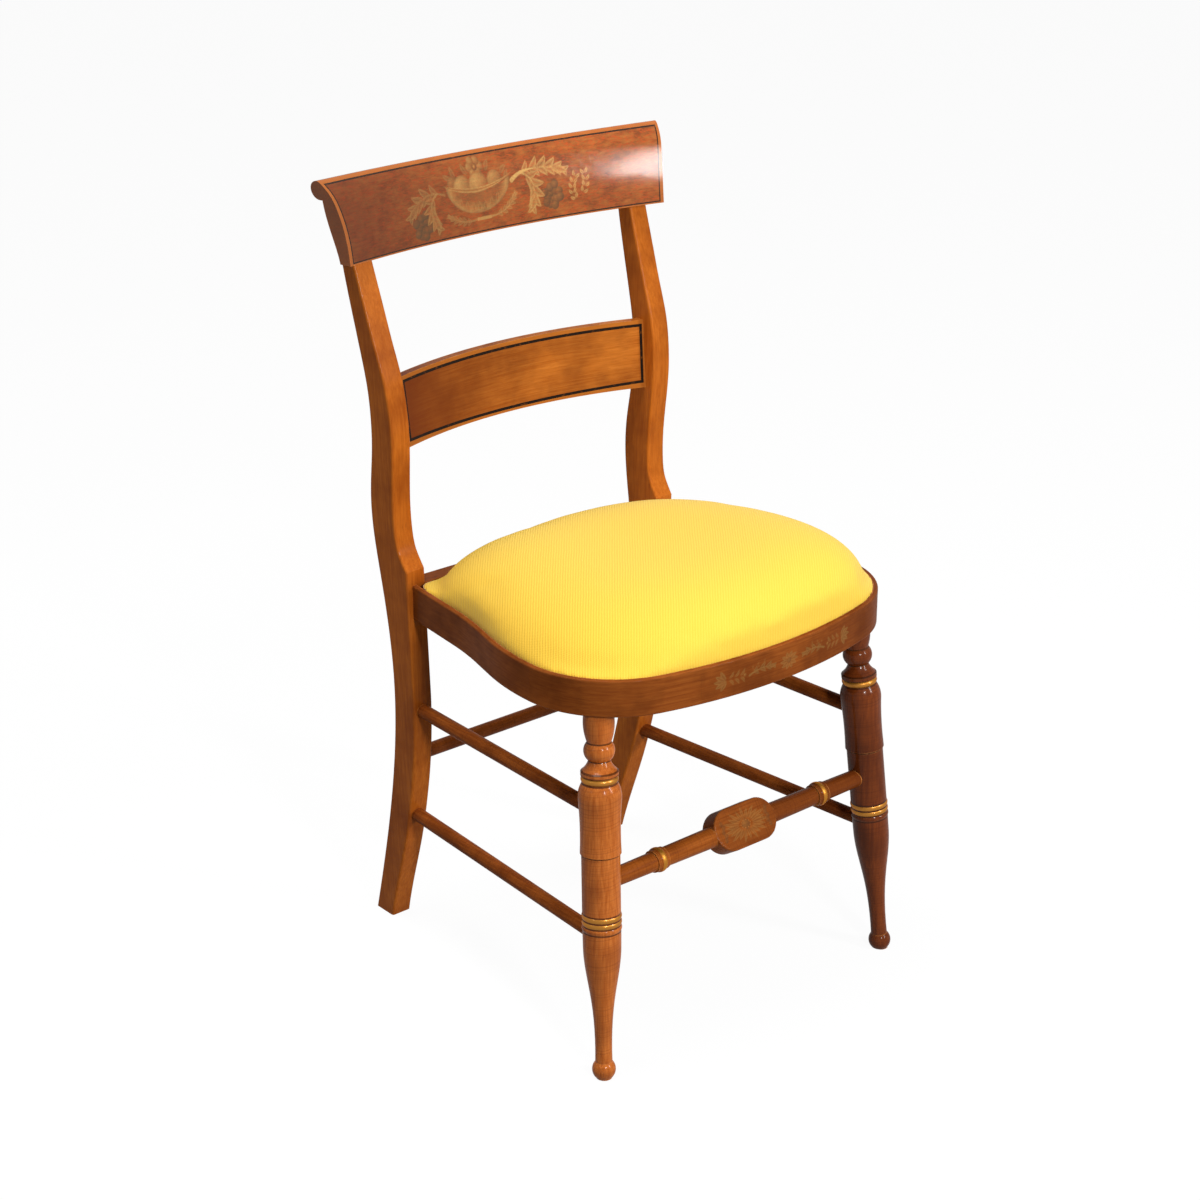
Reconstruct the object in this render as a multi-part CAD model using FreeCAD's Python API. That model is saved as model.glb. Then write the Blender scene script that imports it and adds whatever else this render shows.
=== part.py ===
import FreeCAD, Part
import math
import os

# A painted side chair with a rolled crest, a bowed seat band and a slip seat.
# The origin is on the floor, under the middle of the chair's plan.
# The chair faces minus Y, its left side is at minus X, and lengths are millimetres.
# Every piece is drawn with the seat level, then tipped back until all four feet meet the floor.

# Whole chair
chair_height = 864.0
seat_height = 435.0
seat_slope_angle = 1.09
overrun = 5.0

# Rear posts
post_width = 24.6
post_side_inset = 61.2
post_lean_angle = 1.93
post_seat_face = 130.5
post_sweep = 99.0
post_pad_drop = 135.0
post_pad_rise = 17.0
post_edge_round = 2.4
post_top_front_shares = ((0.0228, 0.066), (0.0469, 0.125), (0.0941, 0.168), (0.1612, 0.178),
                         (0.2451, 0.155), (0.3499, 0.124), (0.4212, 0.139), (0.5009, 0.199),
                         (0.5848, 0.321), (0.6812, 0.458), (0.7798, 0.598), (0.9329, 0.77))
post_top_back_shares = ((0.9329, 0.905), (0.7798, 0.822), (0.6603, 0.705), (0.5554, 0.594),
                        (0.4652, 0.515), (0.3709, 0.492), (0.3163, 0.503), (0.1926, 0.573),
                        (0.0941, 0.574))
post_pad_back_shares = ((0.9253, 0.5), (0.5274, 0.408), (0.1067, 0.366))
post_foot_back_shares = ((0.8899, 0.388), (0.6278, 0.505), (0.3499, 0.7), (0.0, 1.0))
post_foot_front_shares = ((0.0, 0.685), (0.2592, 0.445), (0.4003, 0.305), (0.54, 0.195), (0.6768, 0.105),
                          (0.864, 0.025))

# Crest rail
crest_tall = 85.0
crest_post_reach = 181.7
crest_bow_radius = 1000.0
crest_low_overhang = 25.7
crest_top_overhang = 31.3
crest_flare_middle_share = 0.2
crest_thickness = 14.0
crest_roll_radius = 10.2
crest_roll_set_back = 23.0
crest_roll_end_set_back = 12.0
crest_front_shares = ((0.25, 0.085), (0.5, 0.22), (0.7, 0.38), (0.84, 0.555), (0.94, 0.775), (0.98, 0.89))
crest_back_shares = ((0.7, 0.93), (0.45, 0.66), (0.2, 0.27))
crest_section_shares = (-1.06, -0.53, 0.0, 0.53, 1.06)

# Middle rail
mid_rail_low_share = 0.3046
mid_rail_tall = 76.5
mid_rail_bow_radius = 482.0
mid_rail_post_reach = 150.4
mid_rail_thickness = 9.5
mid_rail_tilt_angle = 6.6
mid_rail_tenon = 9.0
mid_rail_edge_round = 1.2

# Seat band, bent from post to post round the front
band_height = 39.0
band_thickness = 14.0
band_lip = 5.2
band_rebate = 10.0
band_edge_round = 1.6
seat_front_reach = 240.0
seat_half_width = 224.0
bow_radius = 540.0
corner_radius = 110.0
bulge_radius = 288.0
hollow_radius = 366.0
side_run = 35.0
bulge_angle = 15.6
hollow_angle = 7.6
band_dowel_diameter = 7.0
band_dowel_length = 24.0
band_dowel_pitch = 13.0
band_dowel_low = 7.5

# Back seat rail
back_rail_thickness = 22.0
back_rail_tenon_length = 12.0
back_rail_tenon_thickness = 7.0
back_rail_tenon_gap = 1.0
back_rail_tenon_height = 25.0
back_rail_edge_round = 1.5

# Corner blocks
block_drop = 0.8
front_block_side = 92.0
rear_block_side = 40.0
rear_block_height = 24.0

# Front legs
leg_side_inset = 42.9
leg_front_inset = 70.0
leg_splay = 24.2
leg_rake = 36.7
leg_sole_diameter = 17.0
leg_ball_diameter = 24.6
leg_ball_height = 9.0
leg_ankle_diameter = 17.9
leg_ankle_height = 17.5
leg_vase_diameter = 39.2
leg_vase_height_share = 0.3687
leg_shaft_diameter = 39.6
leg_ring_height_share = 0.4197
leg_ring_pitch = 6.35
leg_ring_width = 5.0
leg_ring_proud = 0.8
leg_step_drop = 151.0
leg_step_diameter = 42.2
leg_barrel_diameter = 41.2
leg_barrel_drop = 128.0
leg_shoulder_diameter = 44.4
leg_shoulder_drop = 92.5
leg_collar_diameter = 38.4
leg_collar_drop = 64.8
leg_collar_width = 4.0
leg_gold_drop = 70.9
leg_gold_width = 6.4
leg_gold_diameter = 38.2
leg_groove_diameter = 35.0
leg_waist_diameter = 22.2
leg_waist_drop = 51.5
leg_bead_diameter = 31.8
leg_bead_drop = 41.5
leg_throat_diameter = 24.6
leg_throat_drop = 32.5
leg_cup_diameter = 31.8
leg_cup_drop = 15.0
leg_cup_top_diameter = 29.4
leg_tenon_diameter = 18.0
leg_tenon_end_gap = 3.0
leg_vase_shares = ((0.26, 0.02), (0.42, 0.15), (0.56, 0.35), (0.72, 0.66), (0.86, 0.9))

# Front stretcher with its flat tablet
front_stretcher_rise_share = 0.481
front_stretcher_end_diameter = 19.0
front_stretcher_collar_shaft_diameter = 20.6
front_stretcher_block_shaft_diameter = 22.0
front_stretcher_ring_diameter = 26.6
front_stretcher_ring_width = 9.0
front_stretcher_ring_step = 3.0
front_stretcher_ring_step_diameter = 23.6
front_stretcher_ring_place = 116.0
tablet_length = 85.5
tablet_width = 45.5
tablet_thickness = 22.0
tablet_tilt_angle = 33.0
tablet_edge_round = 1.6

# Plain stretchers
stretcher_diameter = 15.6
stretcher_tenon_diameter = 11.0
stretcher_tenon_length = 14.0
upper_stretcher_drop = 109.5
lower_stretcher_rise = 6.5
rear_stretcher_rise_share = 0.526

# Slip seat
seat_rear_gap = 2.0
fabric_clearance = 0.3
fabric_thickness = 1.2
fabric_turn_share = 0.86
board_corner_round = 16.0
crown_height = 60.0
crown_corner_round = 84.0
crown_centre_share = 0.2167
crown_scale_shares = (1.0, 1.012, 1.008, 0.99, 0.955, 0.9, 0.82, 0.7, 0.52, 0.3, 0.12)
crown_height_shares = (0.0, 0.1, 0.2, 0.285, 0.355, 0.5, 0.685, 0.875, 0.96, 0.99, 1.0)
crown_corner_shares = (0.0, 0.15, 0.35, 0.6, 0.8, 0.92, 1.0, 1.0, 1.0, 1.0, 1.0)
dust_sheet_thickness = 0.8
dust_sheet_share = 0.9
tack_count = 26
tack_head_diameter = 6.0
tack_head_thickness = 0.7
tack_shank_diameter = 1.4
tack_length = 7.0
tack_ring_share = 0.885

# Screws
seat_screw_diameter = 4.4
seat_screw_head_diameter = 8.6
seat_screw_head_depth = 3.0
seat_screw_bite = 6.0
seat_screw_recess = 4.0
crest_screw_diameter = 4.2
crest_screw_head_diameter = 8.0
crest_screw_head_depth = 2.6
crest_screw_bite = 4.3
crest_screw_low_rise = 14.0
crest_screw_pitch = 28.0


def post_centre_x(height):
    """Distance of the rear post's centre from the chair's middle at a height."""
    return seat_half_width - post_side_inset + height * math.tan(math.radians(post_lean_angle))


def bow_rise(radius, half_span):
    """How far a bow's middle stands beyond its ends."""
    return radius - math.sqrt(radius ** 2 - half_span ** 2)


def crest_end_angle(height, overhang):
    """The bow's angle to a crest end that stands past the post's centre at a height."""
    return math.degrees(math.asin((post_centre_x(height) + overhang) / crest_bow_radius))


# Heights and places worked out from the sizes above
band_bottom = seat_height - band_height
ledge_height = seat_height - band_rebate
block_top = ledge_height - block_drop
slip_inset = band_lip + fabric_clearance
board_bottom = ledge_height + fabric_thickness
post_pad_low = seat_height - post_pad_drop
post_pad_high = seat_height + post_pad_rise
seat_rear_face = post_seat_face - seat_rear_gap
crown_centre_reach = seat_front_reach * crown_centre_share

# The crest and the middle rail
crest_low_height = chair_height - crest_tall
crest_low_reach = crest_post_reach + bow_rise(crest_bow_radius, post_centre_x(crest_low_height))
crest_low_angle = crest_end_angle(crest_low_height, crest_low_overhang)
crest_top_angle = crest_end_angle(chair_height, crest_top_overhang)
mid_rail_low_height = post_pad_high + mid_rail_low_share * (chair_height - post_pad_high)
mid_rail_reach = mid_rail_post_reach + bow_rise(mid_rail_bow_radius, post_centre_x(mid_rail_low_height))

# The front legs
leg_top_spread = seat_half_width - leg_side_inset
leg_top_reach = seat_front_reach - leg_front_inset
front_foot_reach = leg_top_reach + leg_rake
leg_vase_height = band_bottom * leg_vase_height_share
leg_ring_height = band_bottom * leg_ring_height_share
leg_ring_top = leg_ring_height + 2 * leg_ring_pitch + leg_ring_width / 2
leg_step_height = band_bottom - leg_step_drop
leg_barrel_height = band_bottom - leg_barrel_drop
leg_shoulder_height = band_bottom - leg_shoulder_drop
leg_gold_height = band_bottom - leg_gold_drop
leg_collar_height = band_bottom - leg_collar_drop
leg_waist_height = band_bottom - leg_waist_drop
leg_bead_height = band_bottom - leg_bead_drop
leg_throat_height = band_bottom - leg_throat_drop
leg_cup_height = band_bottom - leg_cup_drop

# The stretchers
front_stretcher_height = leg_ring_top + front_stretcher_rise_share * (leg_step_height - leg_ring_top)
upper_stretcher_height = band_bottom - upper_stretcher_drop
lower_stretcher_height = leg_vase_height + lower_stretcher_rise
side_stretcher_pitch = upper_stretcher_height - lower_stretcher_height
rear_stretcher_height = lower_stretcher_height + rear_stretcher_rise_share * side_stretcher_pitch


def vec(x, y, z):
    return FreeCAD.Vector(x, y, z)


def mirrored(shape):
    """The same shape on the other side of the chair."""
    return shape.mirror(vec(0, 0, 0), vec(1, 0, 0))


def box(x_low, x_high, y_low, y_high, z_low, z_high):
    return Part.makeBox(x_high - x_low, y_high - y_low, z_high - z_low, vec(x_low, y_low, z_low))


def rod(start, end, radius):
    """A round bar from one point to another."""
    return Part.makeCylinder(radius, (end - start).Length, start, end - start)


def largest(shape):
    """The biggest solid of a shape that a cut may have left in pieces."""
    return max(shape.Solids, key=lambda solid: solid.Volume)


def rounded(solid, edges, radius):
    """The solid with the given edges rounded, where the edges take it."""
    return solid.makeFillet(radius, edges) if edges else solid


def edges_where(solid, test):
    """Edges whose middle point passes a test."""
    picked = []
    for edge in solid.Edges:
        middle = edge.valueAt((edge.FirstParameter + edge.LastParameter) / 2)
        if test(middle, edge):
            picked.append(edge)
    return picked


class Outline:
    """A line drawn piece by piece in one plane, kept as edges."""

    def __init__(self, place, start):
        self.place = place
        self.at = start
        self.edges = []

    def line_to(self, end):
        self.edges.append(Part.makeLine(self.place(*self.at), self.place(*end)))
        self.at = end

    def arc_to(self, through, end):
        arc = Part.Arc(self.place(*self.at), self.place(*through), self.place(*end))
        self.edges.append(arc.toShape())
        self.at = end

    def curve_to(self, points):
        """A smooth curve through the points."""
        curve = Part.BSplineCurve()
        curve.interpolate([self.place(*self.at)] + [self.place(*point) for point in points])
        self.edges.append(curve.toShape())
        self.at = points[-1]

    def wire(self):
        return Part.Wire(self.edges)

    def face(self):
        return Part.Face(self.wire())


def side_place(y, z):
    return vec(0, y, z)


def turning_place(radius, height):
    return vec(radius, 0, height)


def post_points(low, high, shares):
    """Points of the rear post's side view between two heights."""
    return [(post_seat_face + out * post_sweep, low + up * (high - low)) for up, out in shares]


def rear_post_blank():
    """The left rear post before its mortises are cut."""
    top_front = post_points(post_pad_high, chair_height, post_top_front_shares)
    back = post_points(post_pad_high, chair_height, post_top_back_shares)
    back += post_points(post_pad_low, post_pad_high, post_pad_back_shares)
    back += post_points(0, post_pad_low, post_foot_back_shares)
    foot_front = post_points(0, post_pad_low, post_foot_front_shares)
    outline = Outline(side_place, (post_seat_face, post_pad_low))
    outline.line_to((post_seat_face, post_pad_high))
    outline.curve_to(top_front)
    outline.line_to(back[0])
    outline.curve_to(back[1:])
    outline.line_to(foot_front[0])
    outline.curve_to(foot_front[1:] + [(post_seat_face, post_pad_low)])
    face = outline.face()
    face.translate(vec(-post_centre_x(0) - post_width / 2, 0, 0))
    post = face.extrude(vec(post_width, 0, 0))
    post = rounded(post, edges_where(post, upper_post_edge), post_edge_round)
    post = rounded(post, edges_where(post, lower_post_edge), post_edge_round)
    post.rotate(vec(-post_centre_x(0), 0, 0), vec(0, 1, 0), -post_lean_angle)
    return post


def upper_post_edge(middle, edge):
    """Whether an edge runs along the post and ends above the seat."""
    limits = edge.BoundBox
    along = limits.XLength < overrun / 2 and limits.ZLength > post_width
    return along and limits.ZMax > post_pad_high + overrun


def lower_post_edge(middle, edge):
    """Whether an edge runs along the post from the floor and ends below the seat."""
    limits = edge.BoundBox
    along = limits.XLength < overrun / 2 and limits.ZLength > post_width
    return along and limits.ZMin < overrun and limits.ZMax < post_pad_high - overrun


def crest_section(angle, roll_set_back):
    """The crest's end shape on one upright plane through the bow's axis."""
    axis = vec(0, crest_low_reach - crest_bow_radius, 0)
    rise = chair_height - crest_roll_radius - crest_low_height
    roll_z = chair_height - crest_roll_radius
    full_rise = chair_height - crest_low_height
    outline = Outline(side_place, (crest_low_reach, crest_low_height))
    front = [(crest_low_reach + out * roll_set_back, crest_low_height + up * full_rise)
             for up, out in crest_front_shares]
    roll_y = crest_low_reach + roll_set_back
    outline.curve_to(front + [(roll_y, chair_height)])
    outline.arc_to((roll_y + crest_roll_radius, roll_z), (roll_y, roll_z - crest_roll_radius))
    notch_y = roll_y - crest_roll_radius / 3
    outline.line_to((notch_y, roll_z - crest_roll_radius))
    low_back = crest_low_reach + crest_thickness
    back = [(low_back + out * (notch_y - low_back), crest_low_height + up * rise)
            for up, out in crest_back_shares]
    outline.curve_to(back + [(low_back, crest_low_height)])
    outline.line_to((crest_low_reach, crest_low_height))
    wire = outline.wire()
    wire.rotate(axis, vec(0, 0, 1), -angle)
    return wire


def crest_trim_wire(reach):
    """The crest's front outline on an upright plane, its ends on lines from the bow's axis."""
    low = crest_low_height - overrun
    high = chair_height + overrun
    middle_height = (crest_low_height + chair_height) / 2
    depth = reach - crest_low_reach + crest_bow_radius
    low_half_width = depth * math.tan(math.radians(crest_low_angle))
    top_half_width = depth * math.tan(math.radians(crest_top_angle))
    middle = low_half_width + crest_flare_middle_share * (top_half_width - low_half_width)
    outline = Outline(lambda x, z: vec(x, reach, z), (-low_half_width, low))
    outline.line_to((low_half_width, low))
    outline.arc_to((middle, middle_height), (top_half_width, high))
    outline.line_to((-top_half_width, high))
    outline.arc_to((-middle, middle_height), (-low_half_width, low))
    return outline.wire()


def crest_blank():
    """The bowed crest rail with its rolled top, before it is let on to the posts."""
    sections = []
    for share in crest_section_shares:
        set_back = crest_roll_set_back + crest_roll_end_set_back * share ** 2
        sections.append(crest_section(share * crest_top_angle, set_back))
    past = crest_bow_radius / 8
    trim_wires = [crest_trim_wire(crest_low_reach + step) for step in (-past, past)]
    trim = Part.makeLoft(trim_wires, True, True)
    crest = Part.makeLoft(sections, True, False).common(trim)
    return largest(crest)


def mid_rail_solid():
    """The bowed middle rail, with ends that enter the posts."""
    axis_y = mid_rail_reach - mid_rail_bow_radius
    tall = mid_rail_tall + overrun
    lean = tall * math.tan(math.radians(mid_rail_tilt_angle))
    low = mid_rail_low_height - overrun
    outline = Outline(side_place, (mid_rail_reach, low))
    outline.line_to((mid_rail_reach + lean, low + tall + overrun))
    outline.line_to((mid_rail_reach + lean + mid_rail_thickness, low + tall + overrun))
    outline.line_to((mid_rail_reach + mid_rail_thickness, low))
    outline.line_to((mid_rail_reach, low))
    swing_angle = math.degrees(math.asin(post_centre_x(0) * 2 / mid_rail_bow_radius))
    face = outline.face()
    face.rotate(vec(0, axis_y, 0), vec(0, 0, 1), -swing_angle)
    ring = face.revolve(vec(0, axis_y, 0), vec(0, 0, 1), swing_angle * 2)
    end_high = mid_rail_low_height + mid_rail_tall
    reach_high = post_centre_x(end_high) - post_width / 2 + mid_rail_tenon
    reach_low = post_centre_x(mid_rail_low_height) - post_width / 2 + mid_rail_tenon
    front = Outline(lambda x, z: vec(x, 0, z), (-reach_low, mid_rail_low_height))
    front.line_to((reach_low, mid_rail_low_height))
    front.line_to((reach_high, end_high))
    front.line_to((-reach_high, end_high))
    front.line_to((-reach_low, mid_rail_low_height))
    slab = front.face().extrude(vec(0, seat_front_reach, 0))
    return largest(ring.common(slab))


def tipped_reach(y, z):
    """How far back a point of the side view lies once the chair is tipped on its front feet."""
    slope = math.radians(seat_slope_angle)
    return (y + front_foot_reach) * math.cos(slope) + z * math.sin(slope) - front_foot_reach


def standing(shape):
    """A piece tipped with the chair and moved so that the plan is centred on the origin."""
    front = tipped_reach(-seat_front_reach, band_bottom + band_edge_round)
    roll_centre = tipped_reach(crest_low_reach + crest_roll_set_back, chair_height - crest_roll_radius)
    back = roll_centre + crest_roll_radius
    placed = shape.copy()
    placed.rotate(vec(0, -front_foot_reach, 0), vec(1, 0, 0), -seat_slope_angle)
    placed.translate(vec(0, -(front + back) / 2, 0))
    return placed


def on_floor(shape):
    """A leg or post with its foot cut flat where it meets the floor."""
    under = box(-chair_height, chair_height, -chair_height, chair_height, -chair_height, 0)
    return largest(shape.cut(under))


def turn(angle):
    """A level unit way at an angle from plus X."""
    return vec(math.cos(math.radians(angle)), math.sin(math.radians(angle)), 0)


def flipped(point):
    return vec(-point.x, point.y, point.z)


def seat_side(inset):
    """Start, middle and end of each stretch of the right side of the seat, from front to back."""
    bow_centre = vec(0, bow_radius - seat_front_reach, 0)
    corner_x = seat_half_width - corner_radius
    fall = math.sqrt((bow_radius - corner_radius) ** 2 - corner_x ** 2)
    corner_centre = vec(corner_x, bow_centre.y - fall, 0)
    bow_way = (corner_centre - bow_centre).normalize()
    bulge_centre = vec(seat_half_width - bulge_radius, corner_centre.y, 0)
    bow_end = bow_centre + bow_way * (bow_radius - inset)
    corner_middle = corner_centre + (bow_way + turn(0)).normalize() * (corner_radius - inset)
    corner_end = corner_centre + turn(0) * (corner_radius - inset)
    bulge_middle = bulge_centre + turn(bulge_angle / 2) * (bulge_radius - inset)
    bulge_end = bulge_centre + turn(bulge_angle) * (bulge_radius - inset)
    run_end = bulge_end + turn(90 + bulge_angle) * side_run
    hollow_centre = run_end + turn(bulge_angle) * (hollow_radius + inset)
    hollow_middle = hollow_centre - turn((bulge_angle + hollow_angle) / 2) * (hollow_radius + inset)
    hollow_end = hollow_centre - turn(hollow_angle) * (hollow_radius + inset)
    return [(bow_end, corner_middle, corner_end), (corner_end, bulge_middle, bulge_end),
            (bulge_end, None, run_end), (run_end, hollow_middle, hollow_end)]


def side_corner(inset, rear):
    """Where the side of the seat outline reaches a line across the back."""
    hollow_end = seat_side(inset)[-1][2]
    way = turn(90 + hollow_angle)
    return hollow_end + way * ((rear - hollow_end.y) / way.y)


def stretch(start, middle, end):
    """A straight or round edge through its points."""
    return Part.makeLine(start, end) if middle is None else Part.Arc(start, middle, end).toShape()


def seat_wire(inset, rear, corner_round=0):
    """The seat's plan outline, drawn in from the band's outer face and closed across the back."""
    side = seat_side(inset)
    corner = side_corner(inset, rear)
    if corner_round:
        half_turn = 45 - hollow_angle / 2
        run = corner_round * math.tan(math.radians(half_turn))
        side_stop = corner - turn(90 + hollow_angle) * run
        rear_stop = corner - turn(0) * run
        centre = rear_stop - turn(90) * corner_round
        middle = centre + turn(hollow_angle + half_turn) * corner_round
        side = side + [(side[-1][2], None, side_stop), (side_stop, middle, rear_stop)]
    else:
        side = side + [(side[-1][2], None, corner)]
        rear_stop = corner
    front = vec(0, inset - seat_front_reach, 0)
    edges = [stretch(flipped(side[0][0]), front, side[0][0])]
    edges += [stretch(*points) for points in side]
    edges.append(Part.makeLine(rear_stop, flipped(rear_stop)))
    for start, middle, end in reversed(side):
        edges.append(stretch(flipped(end), flipped(middle) if middle else None, flipped(start)))
    return Part.Wire(edges)


def seat_prism(inset, low, high, rear, corner_round=0):
    """The plan outline raised to a block between two heights."""
    block = Part.Face(seat_wire(inset, rear, corner_round)).extrude(vec(0, 0, high - low))
    block.translate(vec(0, 0, low))
    return block


def seat_band_blank():
    """The bent band with its rebate for the slip seat, before dowel holes."""
    band = seat_prism(0, band_bottom, seat_height, post_seat_face)
    band = rounded(band, edges_where(band, outer_band_edge), band_edge_round)
    past = post_seat_face + overrun
    inside = seat_prism(band_thickness, band_bottom - overrun, seat_height + overrun, past)
    rebate = seat_prism(band_lip, ledge_height, seat_height + overrun, past)
    return largest(band.cut(inside).cut(rebate))


def outer_band_edge(middle, edge):
    """Whether an edge is a long arris of the band and not across the back."""
    return edge.BoundBox.ZLength < overrun / 2 and middle.y < post_seat_face - overrun


def band_dowels():
    """Pairs of dowels that join each end of the band to its post."""
    pins = []
    outer = side_corner(0, post_seat_face)
    inner = side_corner(band_thickness, post_seat_face)
    x = (outer.x + inner.x) / 2
    for number in (0, 1):
        z = band_bottom + band_dowel_low + number * band_dowel_pitch
        start = vec(x, post_seat_face, z) - turn(90 + hollow_angle) * (band_dowel_length / 2)
        end = vec(x, post_seat_face, z) + turn(90 + hollow_angle) * (band_dowel_length / 2)
        pins.append(rod(start, end, band_dowel_diameter / 2))
    return Part.makeCompound(pins + [mirrored(pin) for pin in pins])


def back_rail_blank():
    """The straight rail between the posts, with a tenon at each end."""
    inner_low = post_centre_x(band_bottom) - post_width / 2
    inner_high = post_centre_x(seat_height) - post_width / 2
    outline = Outline(lambda x, z: vec(x, post_seat_face, z), (-inner_low, band_bottom))
    for point in ((inner_low, band_bottom), (inner_high, seat_height), (-inner_high, seat_height),
                  (-inner_low, band_bottom)):
        outline.line_to(point)
    rail = outline.face().extrude(vec(0, back_rail_thickness, 0))
    long_edges = edges_where(rail, lambda middle, edge: edge.BoundBox.XLength > inner_low)
    rail = rounded(rail, long_edges, back_rail_edge_round)
    tenon_low = band_bottom + (band_height - back_rail_tenon_height) / 2
    tenon_front = post_seat_face + band_dowel_length / 2 + back_rail_tenon_gap
    reach = inner_low + back_rail_tenon_length
    tenon = box(-reach, reach, tenon_front, tenon_front + back_rail_tenon_thickness,
                tenon_low, tenon_low + back_rail_tenon_height)
    return largest(rail.fuse(tenon).removeSplitter())


def leg_axis(height):
    """The left front leg's centre at a height."""
    below = 1 - height / band_bottom
    return vec(-leg_top_spread - below * leg_splay, -leg_top_reach - below * leg_rake, height)


def leg_point(diameter, height):
    return (diameter / 2, height)


def vase_points():
    """The swelling from the ankle up to the widest place of the vase."""
    tall = leg_vase_height - leg_ankle_height
    swell = leg_vase_diameter - leg_ankle_diameter
    return [leg_point(leg_ankle_diameter + out * swell, leg_ankle_height + up * tall)
            for up, out in leg_vase_shares]


def ring_bead(outline, height, width, proud):
    """A small raised bead on a turned piece, from the outline's last point."""
    radius = outline.at[0]
    outline.line_to((radius, height - width / 2))
    outline.arc_to((radius + proud, height), (radius, height + width / 2))


def leg_blank():
    """The left front leg turned upright, then leaned to its place."""
    shaft = leg_shaft_diameter / 2
    outline = Outline(turning_place, (0, -overrun))
    outline.line_to(leg_point(leg_sole_diameter, -overrun))
    outline.line_to(leg_point(leg_sole_diameter, 0))
    outline.arc_to(leg_point(leg_ball_diameter, leg_ball_height),
                   leg_point(leg_ankle_diameter, leg_ankle_height))
    outline.curve_to(vase_points() + [leg_point(leg_vase_diameter, leg_vase_height)])
    outline.line_to((shaft, leg_ring_height - leg_ring_width))
    for number in (0, 1, 2):
        ring_bead(outline, leg_ring_height + number * leg_ring_pitch, leg_ring_width, leg_ring_proud)
    outline.line_to((shaft, leg_step_height))
    step_rise = (leg_step_diameter - leg_shaft_diameter) / 2
    outline.line_to(leg_point(leg_step_diameter, leg_step_height + step_rise))
    outline.curve_to([leg_point(leg_barrel_diameter, leg_barrel_height),
                      leg_point(leg_shoulder_diameter, leg_shoulder_height)])
    gold_low = leg_gold_height - leg_gold_width / 2
    gold_high = leg_gold_height + leg_gold_width / 2
    turn_in = (leg_shoulder_height + 2 * gold_low) / 3
    outline.arc_to(leg_point((leg_shoulder_diameter * 2 + leg_groove_diameter) / 3, turn_in),
                   leg_point(leg_groove_diameter, gold_low))
    outline.arc_to(leg_point(leg_gold_diameter, leg_gold_height), leg_point(leg_groove_diameter, gold_high))
    outline.line_to(leg_point(leg_collar_diameter, leg_collar_height - leg_collar_width / 2))
    outline.line_to(leg_point(leg_collar_diameter, leg_collar_height + leg_collar_width / 2))
    cove_low = leg_collar_height + leg_collar_width / 2
    cove_mid = (cove_low + leg_waist_height) / 2
    cove_radius = (leg_collar_diameter + 2 * leg_waist_diameter) / 6
    outline.arc_to((cove_radius, cove_mid), leg_point(leg_waist_diameter, leg_waist_height))
    outline.arc_to(leg_point(leg_bead_diameter, leg_bead_height),
                   leg_point(leg_throat_diameter, leg_throat_height))
    outline.arc_to(leg_point(leg_cup_diameter, leg_cup_height), leg_point(leg_cup_top_diameter, band_bottom))
    outline.line_to(leg_point(leg_cup_top_diameter, band_bottom + overrun))
    outline.line_to((0, band_bottom + overrun))
    outline.line_to((0, -overrun))
    leg = outline.face().revolve(vec(0, 0, 0), vec(0, 0, 1), 360)
    lean_to_axis(leg)
    below_seat = box(-chair_height, chair_height, -chair_height, chair_height, -overrun, band_bottom)
    return largest(leg.common(below_seat))


def lean_to_axis(shape):
    """Turn an upright piece so that its centre line is the left leg's axis."""
    foot = leg_axis(0)
    way = leg_axis(band_bottom) - foot
    shape.Placement = FreeCAD.Placement(foot, FreeCAD.Rotation(vec(0, 0, 1), way))


def leg_tenon():
    """The round tenon that enters the corner block."""
    top = block_top - leg_tenon_end_gap
    pin = rod(leg_axis(band_bottom - overrun), leg_axis(top), leg_tenon_diameter / 2)
    return largest(pin.common(box(-chair_height, 0, -chair_height, 0, band_bottom, seat_height)))


def front_block_blank():
    """The left front corner block, a quarter of the band's inside."""
    inside = seat_prism(band_thickness, band_bottom, block_top, post_seat_face)
    half = front_block_side / 2
    far = front_block_side * 2
    corner = leg_axis(band_bottom) + vec(half / 2, half / 2, 0)
    turns = [(half, -far), (half, 0), (0, half), (-far, half), (-far, -far), (half, -far)]
    wedge = Part.makePolygon([corner + vec(x, y, 0) for x, y in turns])
    wedge = Part.Face(wedge).extrude(vec(0, 0, band_height))
    return largest(inside.common(wedge))


def rear_block_blank():
    """The left rear corner block, between the band, the post and the back rail."""
    inside = seat_prism(band_thickness, band_bottom, seat_height, post_seat_face)
    corner = -side_corner(band_thickness, post_seat_face).x
    space = box(corner - overrun, corner + rear_block_side, post_seat_face - rear_block_side, post_seat_face,
                block_top - rear_block_height, block_top)
    return largest(inside.common(space))


def plain_stretcher(start, end, blanks, diameter, tenon_diameter):
    """A round stretcher whose shoulders fit the pieces that it joins."""
    way = (end - start).normalize()
    body = rod(start, end, diameter / 2)
    for blank in blanks:
        body = body.cut(blank)
    body = largest(body)
    span = [vertex.Point.sub(start).dot(way) for vertex in body.Vertexes]
    tenon_start = start + way * (min(span) - stretcher_tenon_length)
    tenon_end = start + way * (max(span) + stretcher_tenon_length)
    tenon = rod(tenon_start, tenon_end, tenon_diameter / 2)
    return largest(body.fuse(tenon))


def post_socket(height, post_blank):
    """Where a side stretcher's centre line enters the left post."""
    low = height - stretcher_diameter / 2
    high = height + stretcher_diameter / 2
    level = box(-chair_height, 0, -chair_height, chair_height, low, high)
    return vec(-post_centre_x(height), largest(post_blank.common(level)).CenterOfMass.y, height)


def side_stretcher(height, leg, post):
    return plain_stretcher(leg_axis(height), post_socket(height, post), (leg, post),
                           stretcher_diameter, stretcher_tenon_diameter)


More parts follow.
